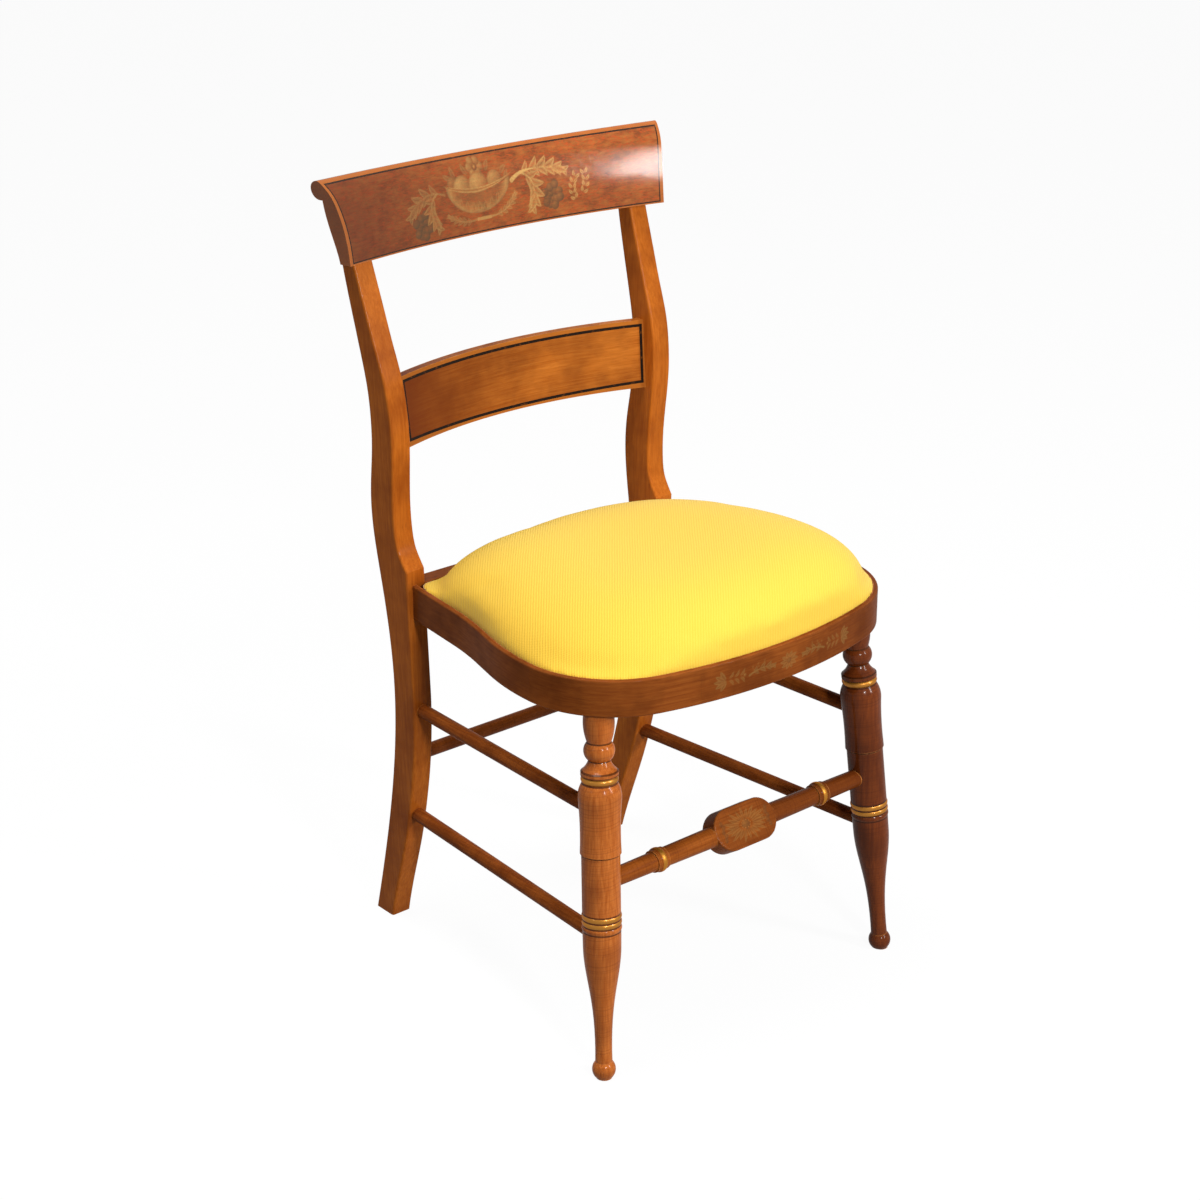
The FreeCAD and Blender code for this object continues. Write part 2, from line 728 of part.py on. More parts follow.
def rear_stretcher_solid(left_post, right_post):
    socket = post_socket(rear_stretcher_height, left_post)
    return plain_stretcher(socket, flipped(socket), (left_post, right_post),
                           stretcher_diameter, stretcher_tenon_diameter)


def front_stretcher_solid(left_leg, right_leg):
    """The turned front stretcher with its two ringed collars and the flat tablet."""
    centre = leg_axis(front_stretcher_height)
    reach = -centre.x
    ring_in = front_stretcher_ring_place - front_stretcher_ring_width / 2
    ring_out = front_stretcher_ring_place + front_stretcher_ring_width / 2
    step = front_stretcher_ring_step
    block_shaft = front_stretcher_block_shaft_diameter / 2
    collar_shaft = front_stretcher_collar_shaft_diameter / 2
    step_radius = front_stretcher_ring_step_diameter / 2
    ring_radius = front_stretcher_ring_diameter / 2
    outline = Outline(lambda r, x: vec(x, 0, r), (0, 0))
    outline.line_to((block_shaft, 0))
    outline.line_to((block_shaft, tablet_length / 2))
    outline.line_to((collar_shaft, ring_in - step))
    outline.line_to((step_radius, ring_in - step))
    outline.line_to((step_radius, ring_in))
    outline.arc_to((ring_radius, front_stretcher_ring_place), (step_radius, ring_out))
    outline.line_to((step_radius, ring_out + step))
    outline.line_to((collar_shaft, ring_out + step))
    outline.line_to((front_stretcher_end_diameter / 2, reach))
    outline.line_to((0, reach))
    outline.line_to((0, 0))
    half = outline.face().revolve(vec(0, 0, 0), vec(1, 0, 0), 360)
    bar = half.fuse(mirrored(half)).fuse(tablet_block()).removeSplitter()
    bar.translate(vec(0, centre.y, centre.z))
    bar = largest(largest(bar).cut(left_leg).cut(right_leg))
    shoulder = reach - leg_shaft_diameter / 2
    tenon_reach = shoulder + stretcher_tenon_length
    tenon = rod(vec(-tenon_reach, centre.y, centre.z), vec(tenon_reach, centre.y, centre.z),
                stretcher_tenon_diameter / 2)
    return largest(bar.fuse(tenon))


def tablet_block():
    """The long rounded tablet at the stretcher's middle, with its face tipped up."""
    end = tablet_width / 2
    straight = (tablet_length - tablet_width) / 2
    back = tablet_thickness / 2
    outline = Outline(lambda x, z: vec(x, -back, z), (-straight, -end))
    outline.line_to((straight, -end))
    outline.arc_to((straight + end, 0), (straight, end))
    outline.line_to((-straight, end))
    outline.arc_to((-straight - end, 0), (-straight, -end))
    block = outline.face().extrude(vec(0, tablet_thickness, 0))
    flat_edges = edges_where(block, lambda middle, edge: edge.BoundBox.YLength < overrun)
    block = rounded(block, flat_edges, tablet_edge_round)
    block.rotate(vec(0, 0, 0), vec(1, 0, 0), -tablet_tilt_angle)
    return block


def scaled_outline(scale, height, inset, corner_round=board_corner_round):
    """The slip seat's outline, scaled about the crown's middle."""
    wire = seat_wire(inset, seat_rear_face, corner_round)
    wire.scale(scale, vec(0, -crown_centre_reach, 0))
    wire.translate(vec(0, 0, height))
    return wire


def crown(inset, top_drop):
    """The domed cushion above the band, drawn in at the sides."""
    wires = []
    for scale, up, rounder in zip(crown_scale_shares, crown_height_shares, crown_corner_shares):
        height = seat_height + up * (crown_height - top_drop)
        corner_round = board_corner_round + rounder * (crown_corner_round - board_corner_round)
        wires.append(scaled_outline(scale, height, inset, corner_round))
    return Part.makeLoft(wires, True, True)


def slip_block(inset, low, high):
    return seat_prism(inset, low, high, seat_rear_face, board_corner_round)


def shrunk_block(scale, low, high):
    """The slip seat's outline, scaled and raised between two heights."""
    return Part.Face(scaled_outline(scale, low, slip_inset)).extrude(vec(0, 0, high - low))


def seat_cover_blank(board, pad):
    """The fabric, over the pad, down the board's edge and turned in below it."""
    outside = slip_block(slip_inset, ledge_height, seat_height).fuse(crown(slip_inset, 0))
    under = shrunk_block(fabric_turn_share, ledge_height, board_bottom)
    return largest(outside.cut(board).cut(pad).cut(under))


def tack_places():
    """Evenly spaced places round the underside of the slip seat."""
    wire = scaled_outline(tack_ring_share, ledge_height - dust_sheet_thickness, slip_inset)
    return wire.discretize(Number=tack_count + 1)[:-1]


def tack(place):
    """A flat headed tack driven up from below."""
    head = rod(place - vec(0, 0, tack_head_thickness), place, tack_head_diameter / 2)
    shank = rod(place, place + vec(0, 0, tack_length), tack_shank_diameter / 2)
    return head.fuse(shank)


def tacks_clear_of(blocks):
    """The tacks that miss the corner blocks."""
    pins = [tack(place) for place in tack_places()]
    reach = tack_head_diameter
    return [pin for pin in pins if all(pin.distToShape(block)[0] > reach for block in blocks)]


def wood_screw(head_centre, way, length, shank, head, head_depth):
    """A flat headed screw, its head's face at the first point."""
    neck = head_centre + way * head_depth
    cone = Part.makeCone(head / 2, shank / 2, head_depth, head_centre, way)
    return cone.fuse(rod(neck, head_centre + way * length, shank / 2)).removeSplitter()


def seat_screw(block):
    """A screw up through a corner block into the slip seat's board."""
    middle = block.CenterOfMass
    low = block.BoundBox.ZMin + seat_screw_recess
    head_centre = vec(middle.x, middle.y, low)
    length = board_bottom + seat_screw_bite - low
    return wood_screw(head_centre, vec(0, 0, 1), length, seat_screw_diameter,
                      seat_screw_head_diameter, seat_screw_head_depth)


def screw_well(block):
    """The recess that sinks a seat screw's head in the block."""
    middle = block.CenterOfMass
    low = block.BoundBox.ZMin
    return rod(vec(middle.x, middle.y, low - overrun), vec(middle.x, middle.y, low + seat_screw_recess),
               seat_screw_head_diameter / 2)


def crest_screw(height, post):
    """A screw through the left post's back into the crest."""
    x = -post_centre_x(height)
    probe = Part.makeLine(vec(x, 0, height), vec(x, seat_front_reach * 2, height)).common(post)
    back = probe.BoundBox.YMax
    length = probe.BoundBox.YLength + crest_screw_bite
    return wood_screw(vec(x, back, height), vec(0, -1, 0), length, crest_screw_diameter,
                      crest_screw_head_diameter, crest_screw_head_depth)


def build():
    """Every piece of the chair by name."""
    left_post = rear_post_blank()
    right_post = mirrored(left_post)
    left_leg = leg_blank()
    right_leg = mirrored(left_leg)
    tenon = leg_tenon()
    tenons = tenon.fuse(mirrored(tenon))
    screw_low = crest_low_height + crest_screw_low_rise
    crest_pins = [crest_screw(screw_low + number * crest_screw_pitch, left_post) for number in (0, 1)]
    crest_screws = Part.makeCompound(crest_pins + [mirrored(pin) for pin in crest_pins])
    crest = largest(crest_blank().cut(left_post).cut(right_post).cut(crest_screws))
    mid_rail = mid_rail_solid()
    dowels = band_dowels()
    band = largest(seat_band_blank().cut(dowels))
    back_rail = back_rail_blank()
    front_block = front_block_blank()
    rear_block = rear_block_blank()
    screws = [seat_screw(block_side(front_block)), seat_screw(rear_block)]
    seat_screws = Part.makeCompound(screws + [mirrored(screw) for screw in screws])
    front_block = largest(front_block.cut(tenon).cut(seat_screws).cut(screw_well(block_side(front_block))))
    rear_block = largest(rear_block.cut(seat_screws).cut(screw_well(rear_block)))
    upper = side_stretcher(upper_stretcher_height, left_leg, left_post)
    lower = side_stretcher(lower_stretcher_height, left_leg, left_post)
    rear_stretcher = rear_stretcher_solid(left_post, right_post)
    front_stretcher = front_stretcher_solid(left_leg, right_leg)
    joints = Part.makeCompound([upper, lower, rear_stretcher, front_stretcher, mid_rail, back_rail, dowels,
                                crest_screws])
    left_post = largest(left_post.cut(joints))
    left_leg = largest(left_leg.fuse(tenon).cut(joints))
    blocks = [front_block, rear_block, mirrored(front_block), mirrored(rear_block)]
    tacks = Part.makeCompound(tacks_clear_of(blocks))
    fasteners = Part.makeCompound([tacks, seat_screws])
    board = slip_block(slip_inset + fabric_thickness, board_bottom, seat_height)
    pad = crown(slip_inset + fabric_thickness, fabric_thickness)
    cover = seat_cover_blank(board, pad).cut(fasteners)
    dust_low = ledge_height - dust_sheet_thickness
    dust_cover = shrunk_block(dust_sheet_share, dust_low, ledge_height).cut(fasteners)
    return {
        "left_rear_post": left_post,
        "right_rear_post": mirrored(left_post),
        "crest_rail": crest,
        "mid_rail": mid_rail,
        "seat_band": band,
        "back_seat_rail": back_rail,
        "left_front_corner_block": front_block,
        "right_front_corner_block": mirrored(front_block),
        "left_rear_corner_block": rear_block,
        "right_rear_corner_block": mirrored(rear_block),
        "left_front_leg": left_leg,
        "right_front_leg": mirrored(left_leg),
        "front_stretcher": front_stretcher,
        "left_upper_stretcher": upper,
        "left_lower_stretcher": lower,
        "right_upper_stretcher": mirrored(upper),
        "right_lower_stretcher": mirrored(lower),
        "rear_stretcher": rear_stretcher,
        "seat_board": largest(board.cut(fasteners)),
        "seat_pad": pad,
        "seat_cover": largest(cover),
        "dust_cover": largest(dust_cover),
        "upholstery_tacks": tacks,
        "seat_screws": seat_screws,
        "crest_screws": crest_screws,
        "band_dowels": dowels,
    }


def block_side(block):
    """The part of a front block beside the leg's tenon, where the screw goes."""
    limits = block.BoundBox
    middle_y = leg_axis(band_bottom).y + leg_tenon_diameter
    side = block.common(box(limits.XMin, limits.XMax, middle_y, limits.YMax, limits.ZMin, limits.ZMax))
    return largest(side)


os.makedirs("parts", exist_ok=True)
for name, drawn in build().items():
    shape = standing(drawn)
    if name.endswith("rear_post") or name.endswith("front_leg"):
        shape = on_floor(shape)
    shape.exportStep("parts/" + name + ".step")
    print(name, len(shape.Solids), round(shape.Volume), shape.isValid())
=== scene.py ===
"""A stained and stenciled side chair with a bowed seat band and a yellow slip seat."""

import logging
import math
from collections.abc import Callable
from dataclasses import dataclass, field, replace
from enum import Enum

import bpy
import numpy as np
from mathutils import Euler, Matrix, Vector


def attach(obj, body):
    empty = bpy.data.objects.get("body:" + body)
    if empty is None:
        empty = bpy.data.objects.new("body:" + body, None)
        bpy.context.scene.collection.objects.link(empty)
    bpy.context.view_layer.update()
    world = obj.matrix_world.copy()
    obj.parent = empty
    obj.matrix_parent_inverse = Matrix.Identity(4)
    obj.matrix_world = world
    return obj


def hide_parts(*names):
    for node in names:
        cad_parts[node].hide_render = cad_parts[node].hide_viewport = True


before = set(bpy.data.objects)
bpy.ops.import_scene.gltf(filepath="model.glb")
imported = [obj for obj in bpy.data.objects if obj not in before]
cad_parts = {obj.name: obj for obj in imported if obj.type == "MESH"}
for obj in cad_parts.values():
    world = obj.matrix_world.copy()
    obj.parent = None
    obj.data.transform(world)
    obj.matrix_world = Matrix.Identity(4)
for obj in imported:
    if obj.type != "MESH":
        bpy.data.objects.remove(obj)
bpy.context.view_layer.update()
log = logging.getLogger("side chair")

# Millimetres in a metre, for sizes that are written as the maker's rule shows them
MM = 1000.0


@dataclass(frozen=True)
class Stance:
    """How the chair stands: its seat slopes back from the level position in which it was drawn.

    Level places are in millimetres, with plus X to the sitter's left and the chair facing minus Y.
    """

    slope_angle: float = 1.09
    foot_reach: float = 206.7
    shift: float = -8.33

    def tilt(self) -> Matrix:
        """Return the turn from the level chair to the standing one."""
        return Matrix.Rotation(-math.radians(self.slope_angle), 3, "X")

    def place(self, points: np.ndarray) -> np.ndarray:
        """Move level places to where they are on the standing chair.

        Args:
            points: Rows of x, y and z in millimetres, seat level.

        Returns:
            Rows of x, y and z in metres in the frame's own space.
        """
        pivot = np.array((0.0, -self.foot_reach, 0.0))
        turned = (points - pivot) @ np.array(self.tilt()).T + pivot
        return (turned + np.array((0.0, self.shift, 0.0))) / MM

    def level(self, points: np.ndarray) -> np.ndarray:
        """Move places on the standing chair back to the level one.

        Args:
            points: Rows of x, y and z in metres.

        Returns:
            Rows of x, y and z in millimetres, seat level.
        """
        pivot = np.array((0.0, -self.foot_reach, 0.0))
        return (points * MM - np.array((0.0, self.shift, 0.0)) - pivot) @ np.array(self.tilt()) + pivot

    def mapping(self) -> dict[str, object]:
        """Return a Mapping node's values that turn Object coordinates into level millimetres."""
        slope = math.radians(self.slope_angle)
        reach = self.foot_reach - self.shift
        return {
            "Location": (0.0, reach * math.cos(slope) - self.foot_reach, reach * math.sin(slope)),
            "Rotation": Euler((slope, 0.0, 0.0)),
            "Scale": (MM, MM, MM),
        }


STANCE = Stance()


def linear(colour: str) -> tuple[float, float, float, float]:
    """Turn an sRGB hex colour into the linear values that a shader takes.

    Args:
        colour: The colour as "#RRGGBB".

    Returns:
        Linear red, green, blue and an alpha of 1.
    """
    values = []
    for start in (1, 3, 5):
        share = int(colour[start:start + 2], 16) / 255
        values.append(share / 12.92 if share <= 0.04045 else ((share + 0.055) / 1.055) ** 2.4)
    return (values[0], values[1], values[2], 1.0)


Socket = bpy.types.NodeSocket
Point = tuple[float, float]
Place = tuple[float, float, float]
WHITE = (1.0, 1.0, 1.0, 1.0)


class Recipe:
    """The node tree of a material or a world while it is being written."""

    def __init__(self, owner: bpy.types.Material | bpy.types.World) -> None:
        """Start with an empty tree.

        Args:
            owner: What the nodes belong to.
        """
        self.owner = owner
        owner.use_nodes = True
        self.tree = owner.node_tree
        self.tree.nodes.clear()

    def add(self, kind: str, inputs: dict[str | int, object], output: str | int = 0, **settings: object) -> Socket:
        """Add one node with its settings and links.

        Args:
            kind: The node's type, without its ShaderNode prefix.
            inputs: A value or another node's output for each input socket.
            output: The name or number of the output to hand back.
            **settings: The node's own properties.

        Returns:
            The chosen output socket.
        """
        node = self.tree.nodes.new("ShaderNode" + kind)
        for name, value in settings.items():
            setattr(node, name, value)
        for name, value in inputs.items():
            if isinstance(value, Socket):
                self.tree.links.new(value, node.inputs[name])
            else:
                node.inputs[name].default_value = value
        return node.outputs[output] if len(node.outputs) else node.inputs[0]

    def level_places(self) -> Socket:
        """Return the surface's place in level millimetres."""
        places = self.add("TexCoord", {}, "Object")
        return self.add("Mapping", {"Vector": places, **STANCE.mapping()})


@dataclass(frozen=True)
class Finish:
    """A real material that a piece is made of or covered with."""

    name: str

    def write(self, recipe: Recipe) -> None:
        """Write the finish's nodes, which each kind of finish does in its own way.

        Args:
            recipe: The empty material.
        """
        raise NotImplementedError

    def build(self) -> bpy.types.Material:
        """Make the finish's material.

        Returns:
            The written material.
        """
        recipe = Recipe(bpy.data.materials.new(self.name))
        self.write(recipe)
        return recipe.owner


@dataclass
class Coat:
    """What a finish has laid on a surface so far, as sockets or plain values."""

    recipe: Recipe
    places: Socket
    colour: Socket
    roughness: Socket
    height: Socket
    metal: Socket | None = None

    def lay(self, mask: Socket, colour: Socket | tuple, roughness: float, metal: float = 0.0) -> None:
        """Lay paint or bronze over the coat where a mask is 1.

        Args:
            mask: Where the new layer covers, from 0 to 1.
            colour: The new layer's linear colour, or a socket that gives it.
            roughness: The new layer's roughness.
            metal: How metallic the new layer is.
        """
        add = self.recipe.add
        self.colour = add("Mix", {0: mask, 6: self.colour, 7: colour}, 2, data_type="RGBA")
        self.roughness = add("Mix", {0: mask, 2: self.roughness, 3: roughness}, 0)
        if metal:
            before = self.metal if self.metal is not None else 0.0
            self.metal = add("Mix", {0: mask, 2: before, 3: metal}, 0)


class Grain(Enum):
    """Which way a piece's grain runs: how long a streak is in mm along x, y and z."""

    UPRIGHT = (2.4, 2.4, 60.0)
    SIDEWAYS = (42.0, 30.0, 1.9)
    MOTTLED = (12.0, 10.0, 2.6)
    ACROSS = (60.0, 2.4, 2.4)
    BACKWARDS = (2.4, 60.0, 2.4)


@dataclass(frozen=True)
class StainedMaple(Finish):
    """Hard maple under brown stain and satin varnish: fine grain, cloudy colour and paler, rubbed arrises, and painted
    shade towards one end where it is set.
    """

    grain: Grain
    light: str = "#BF6A22"
    middle: str = "#A65516"
    dark: str = "#75310D"
    worn: str = "#CC8746"
    amber: str = "#FFB26A"
    fleck: str = ""
    # Painted shade: how much of the dark tone is laid towards one end, and the x places in mm where it starts and
    # where it is full
    painted_shade_share: float = 0.0
    painted_shade_reach: Point = (40.0, -190.0)
    wear: float = 0.75
    roughness: float = 0.42
    varnish: float = 0.07
    sheen: float = 0.15
    gloss: float = 0.02
    cloud_size: float = 55.0
    patch_size: float = 14.0
    arris: float = 2.2
    relief: float = 0.25
    ring_axis: Place | None = None
    ring_pitch: float = 1.7

    def coat(self, recipe: Recipe) -> Coat:
        """Write the stained wood under the varnish.

        Args:
            recipe: The material being written.

        Returns:
            The wood's colour, roughness and height.
        """
        add = recipe.add
        places = recipe.level_places()
        streak_places, pore_places = (
            add("Mapping", {"Vector": places, "Scale": tuple(fineness / size for size in self.grain.value)})
            for fineness in (1.0, 3.2))
        streak = add("TexNoise", {"Vector": streak_places, "Scale": 1.0, "Detail": 5.0, "Roughness": 0.6,
                                  "Distortion": 0.5})
        cloud = add("TexNoise", {"Vector": places, "Scale": 1 / self.cloud_size, "Detail": 3.0, "Roughness": 0.55})
        pore = add("TexNoise", {"Vector": pore_places, "Scale": 1.0, "Detail": 2.0})
        tone = add("MapRange", {"Value": streak, "From Min": 0.32, "From Max": 0.68})
        colour = add("Mix", {0: tone, 6: linear(self.middle), 7: linear(self.light)}, 2, data_type="RGBA")
        shade = add("MapRange", {"Value": cloud, "From Min": 0.42, "From Max": 0.72, "To Max": 0.6})
        pores = add("MapRange", {"Value": pore, "From Min": 0.6, "From Max": 0.74, "To Max": 0.42})
        stains_and_shade = [(shade, self.dark), (pores, self.dark)]
        if self.fleck:
            spots = add("TexNoise", {"Vector": streak_places, "Scale": 1.7, "Detail": 4.0, "Roughness": 0.65,
                                     "Distortion": 1.2})
            spots = add("MapRange", {"Value": spots, "From Min": 0.48, "From Max": 0.62, "To Max": 0.7})
            stains_and_shade.append((spots, self.fleck))
        # Painted shade: the dark tone is laid more and more along x, towards the end of the piece that gets less light
        if self.painted_shade_share:
            side = add("SeparateXYZ", {0: places}, "X")
            start, end = self.painted_shade_reach
            painted_shade = add("MapRange", {"Value": side, "From Min": start, "From Max": end, "To Max": self.painted_shade_share})
            stains_and_shade.append((painted_shade, self.dark))
        for mask, stain in stains_and_shade:
            colour = add("Mix", {0: mask, 6: colour, 7: linear(stain)}, 2, data_type="RGBA")
        height = add("Math", {0: streak, 1: pore}, operation="ADD")
        roughness = add("MapRange", {"Value": cloud, "From Min": 0.3, "From Max": 0.7,
                                     "To Min": self.roughness - 0.05, "To Max": self.roughness + 0.07})
        coat = Coat(recipe, places, colour, roughness, height)
        if self.ring_axis:
            self.turn_rings(coat)
        coat.lay(self.rubbed(coat), linear(self.worn), self.roughness + 0.1)
        return coat

    def turn_rings(self, coat: Coat) -> None:
        """Add the fine rings that a lathe tool leaves round a turned piece.

        Args:
            coat: The stained wood to mark.
        """
        add = coat.recipe.add
        along = add("VectorMath", {0: coat.places, 1: self.ring_axis}, "Value", operation="DOT_PRODUCT")
        turns = add("Math", {0: along, 1: self.ring_pitch}, operation="DIVIDE")
        ring = add("TexNoise", {"W": turns, "Scale": 1.0, "Detail": 2.0}, noise_dimensions="1D")
        groove = add("MapRange", {"Value": ring, "From Min": 0.5, "From Max": 0.7, "To Max": 0.28})
        coat.colour = add("Mix", {0: groove, 6: coat.colour, 7: linear(self.dark)}, 2, data_type="RGBA")
        coat.height = add("Math", {0: ring, 1: 0.8, 2: coat.height}, operation="MULTIPLY_ADD")

    def rubbed(self, coat: Coat) -> Socket:
        """Find the arrises where hands and cloths have rubbed the stain pale.

        Args:
            coat: The stained wood.

        Returns:
            A mask, 1 on a worn arris.
        """
        add = coat.recipe.add
        eased = add("Bevel", {"Radius": self.arris / MM}, samples=6)
        normal = add("NewGeometry", {}, "Normal")
        match = add("VectorMath", {0: eased, 1: normal}, "Value", operation="DOT_PRODUCT")
        edge = add("MapRange", {"Value": match, "From Min": 0.985, "From Max": 0.90, "To Max": self.wear})
        patch = add("TexNoise", {"Vector": coat.places, "Scale": 1 / self.patch_size, "Detail": 4.0})
        patchy = add("MapRange", {"Value": patch, "From Min": 0.36, "From Max": 0.6, "To Min": 0.25})
        return add("Math", {0: edge, 1: patchy}, operation="MULTIPLY")

    def decorate(self, coat: Coat) -> None:
        """Leave the wood plain."""

    def varnish_over(self, coat: Coat) -> None:
        """Lay the varnish over a coat.

        Args:
            coat: The finished wood.
        """
        add = coat.recipe.add
        bump = add("Bump", {"Strength": 0.16, "Distance": self.relief / MM, "Height": coat.height})
        inputs = {"Base Color": coat.colour, "Roughness": coat.roughness, "Normal": bump, "IOR": 1.5,
                  "Coat Weight": self.varnish, "Coat Roughness": self.sheen, "Specular IOR Level": self.gloss,
                  "Specular Tint": linear(self.amber)}
        if coat.metal is not None:
            inputs["Metallic"] = coat.metal
        add("OutputMaterial", {"Surface": add("BsdfPrincipled", inputs)})

    def write(self, recipe: Recipe) -> None:
        """Write the wood, its decoration and its varnish.

        Args:
            recipe: The empty material.
        """
        coat = self.coat(recipe)
        self.decorate(coat)
        self.varnish_over(coat)


@dataclass(frozen=True)
class Gilding:
    """Bronze powder in varnish, brushed on a turned ring: a warm metal gloss, darker in its hollows."""

    colour: str = "#A87029"
    roughness: float = 0.36
    metal: float = 0.6


@dataclass(frozen=True)
class GiltTurning(StainedMaple):
    """Turned and stained maple whose chosen rings are gilt."""

    origin: Place = (0.0, 0.0, 0.0)
    axis: Place = (0.0, 0.0, 1.0)
    rings: tuple[Point, ...] = ()
    grooves: tuple[float, ...] = ()
    groove_width: float = 1.7
    groove_colour: str = "#35170A"
    gilding: Gilding = Gilding()

    def decorate(self, coat: Coat) -> None:
        """Gild the bands that lie at the rings' places along the axis.

        Args:
            coat: The stained wood to paint on.
        """
        add = coat.recipe.add
        x, y, z = (add("SeparateXYZ", {0: coat.places}, way) for way in "XYZ")
        side = add("Math", {0: x}, operation="ABSOLUTE")
        mirrored = add("CombineXYZ", {0: side, 1: y, 2: z})
        from_origin = add("VectorMath", {0: mirrored, 1: self.origin}, operation="SUBTRACT")
        along = add("VectorMath", {0: from_origin, 1: self.axis}, "Value", operation="DOT_PRODUCT")
        for place, width in self.rings:
            ring = add("Math", {0: along, 1: place, 2: width / 2}, operation="COMPARE")
            coat.lay(ring, linear(self.gilding.colour), self.gilding.roughness, self.gilding.metal)
        # A darker colour is laid in each groove along the axis
        for place in self.grooves:
            groove = add("Math", {0: along, 1: place, 2: self.groove_width / 2}, operation="COMPARE")
            groove_darkening = add("Math", {0: groove, 1: 0.78}, operation="MULTIPLY")
            coat.lay(groove_darkening, linear(self.groove_colour), 0.5)


@dataclass(frozen=True)
class LinedRail(StainedMaple):
    """A bowed rail with a dark painted line round its front face."""

    line: str = "#2E1B10"
    margin: str = "#B56C2E"
    line_width: float = 1.4
    flaw_size: float = 5.0
    bow_radius: float = 1000.0
    bow_centre: float = -800.27
    low: float = 779.0
    line_low: float = 2.2
    line_low_sag: float = 0.0
    line_high: float = 81.3
    end_middle: float = 213.5
    end_curve: Point = (0.0, 0.0)
    end_shift: float = 0.0

    def decorate(self, coat: Coat) -> None:
        """Paint the line, and leave the margin outside it paler.

        Args:
            coat: The stained wood to paint on.
        """
        add = coat.recipe.add
        x, y, z = (add("SeparateXYZ", {0: coat.places}, way) for way in "XYZ")
        depth = add("Math", {0: y, 1: self.bow_centre}, operation="SUBTRACT")
        angle = add("Math", {0: x, 1: depth}, operation="ARCTAN2")
        along = add("Math", {0: angle, 1: self.bow_radius, 2: -self.end_shift}, operation="MULTIPLY_ADD")
        span = add("Math", {0: along}, operation="ABSOLUTE")
        rise = add("Math", {0: z, 1: self.low}, operation="SUBTRACT")
        slant, flare = self.end_curve
        bend = add("Math", {0: rise, 1: flare, 2: slant}, operation="MULTIPLY_ADD")
        end = add("Math", {0: rise, 1: bend, 2: self.end_middle}, operation="MULTIPLY_ADD")
        share = add("Math", {0: span, 1: self.end_middle}, operation="DIVIDE")
        squared = add("Math", {0: share, 1: share}, operation="MULTIPLY")
        low = add("Math", {0: squared, 1: self.line_low_sag, 2: self.line_low - self.line_low_sag},
                  operation="MULTIPLY_ADD")
        gaps = [add("Math", {0: far, 1: near}, operation="SUBTRACT")
                for far, near in ((end, span), (self.line_high, rise), (rise, low))]
        nearest = add("Math", {0: gaps[0], 1: gaps[1]}, operation="MINIMUM")
        nearest = add("Math", {0: nearest, 1: gaps[2]}, operation="MINIMUM")
        facing = add("NewGeometry", {}, "Normal")
        facing = add("SeparateXYZ", {0: facing}, "Y")
        front = add("MapRange", {"Value": facing, "From Min": -0.15, "From Max": -0.3})
        outside = add("MapRange", {"Value": nearest, "From Min": 0.6, "From Max": -0.6, "To Max": 0.62})
        outside = add("Math", {0: outside, 1: front}, operation="MULTIPLY")
        coat.lay(outside, linear(self.margin), self.roughness)
        line = add("Math", {0: nearest, 1: 0.0, 2: self.line_width / 2}, operation="COMPARE")
        line = add("Math", {0: line, 1: front}, operation="MULTIPLY")
        worn = add("TexNoise", {"Vector": coat.places, "Scale": 1 / self.flaw_size, "Detail": 3.0})
        kept = add("MapRange", {"Value": worn, "From Min": 0.3, "From Max": 0.42, "To Min": 0.75})
        line = add("Math", {0: line, 1: kept}, operation="MULTIPLY")
        coat.lay(line, linear(self.line), 0.42)


@dataclass(frozen=True)
class Stenciled(Finish):
    """Bronze powder rubbed through a stencil on to tacky varnish, over the same wood as its surroundings."""

    wood: StainedMaple
    gold: str = "#BE9A58"
    umber: str = "#4A3A26"
    strength: float = 0.86
    grit_size: float = 2.2

    def write(self, recipe: Recipe) -> None:
        """Write the wood, then the powder where the sheet's attributes say that it lies.

        Args:
            recipe: The empty material.
        """
        add = recipe.add
        coat = self.wood.coat(recipe)
        self.wood.decorate(coat)
        umber = add("Attribute", {}, "Fac", attribute_name="umber")
        shade = add("Math", {0: umber, 1: 0.85}, operation="MULTIPLY")
        coat.lay(shade, linear(self.umber), self.wood.roughness + 0.05)
        powder = add("TexNoise", {"Vector": coat.places, "Scale": 1 / self.grit_size, "Detail": 5.0, "Roughness": 0.7})
        cover = add("MapRange", {"Value": powder, "From Min": 0.28, "From Max": 0.62, "To Min": 0.5,
                                 "To Max": self.strength})
        bronze = add("Attribute", {}, "Fac", attribute_name="bronze")
        mask = add("Math", {0: bronze, 1: cover}, operation="MULTIPLY")
        coat.lay(mask, linear(self.gold), 0.36, 0.25)
        self.wood.varnish_over(coat)


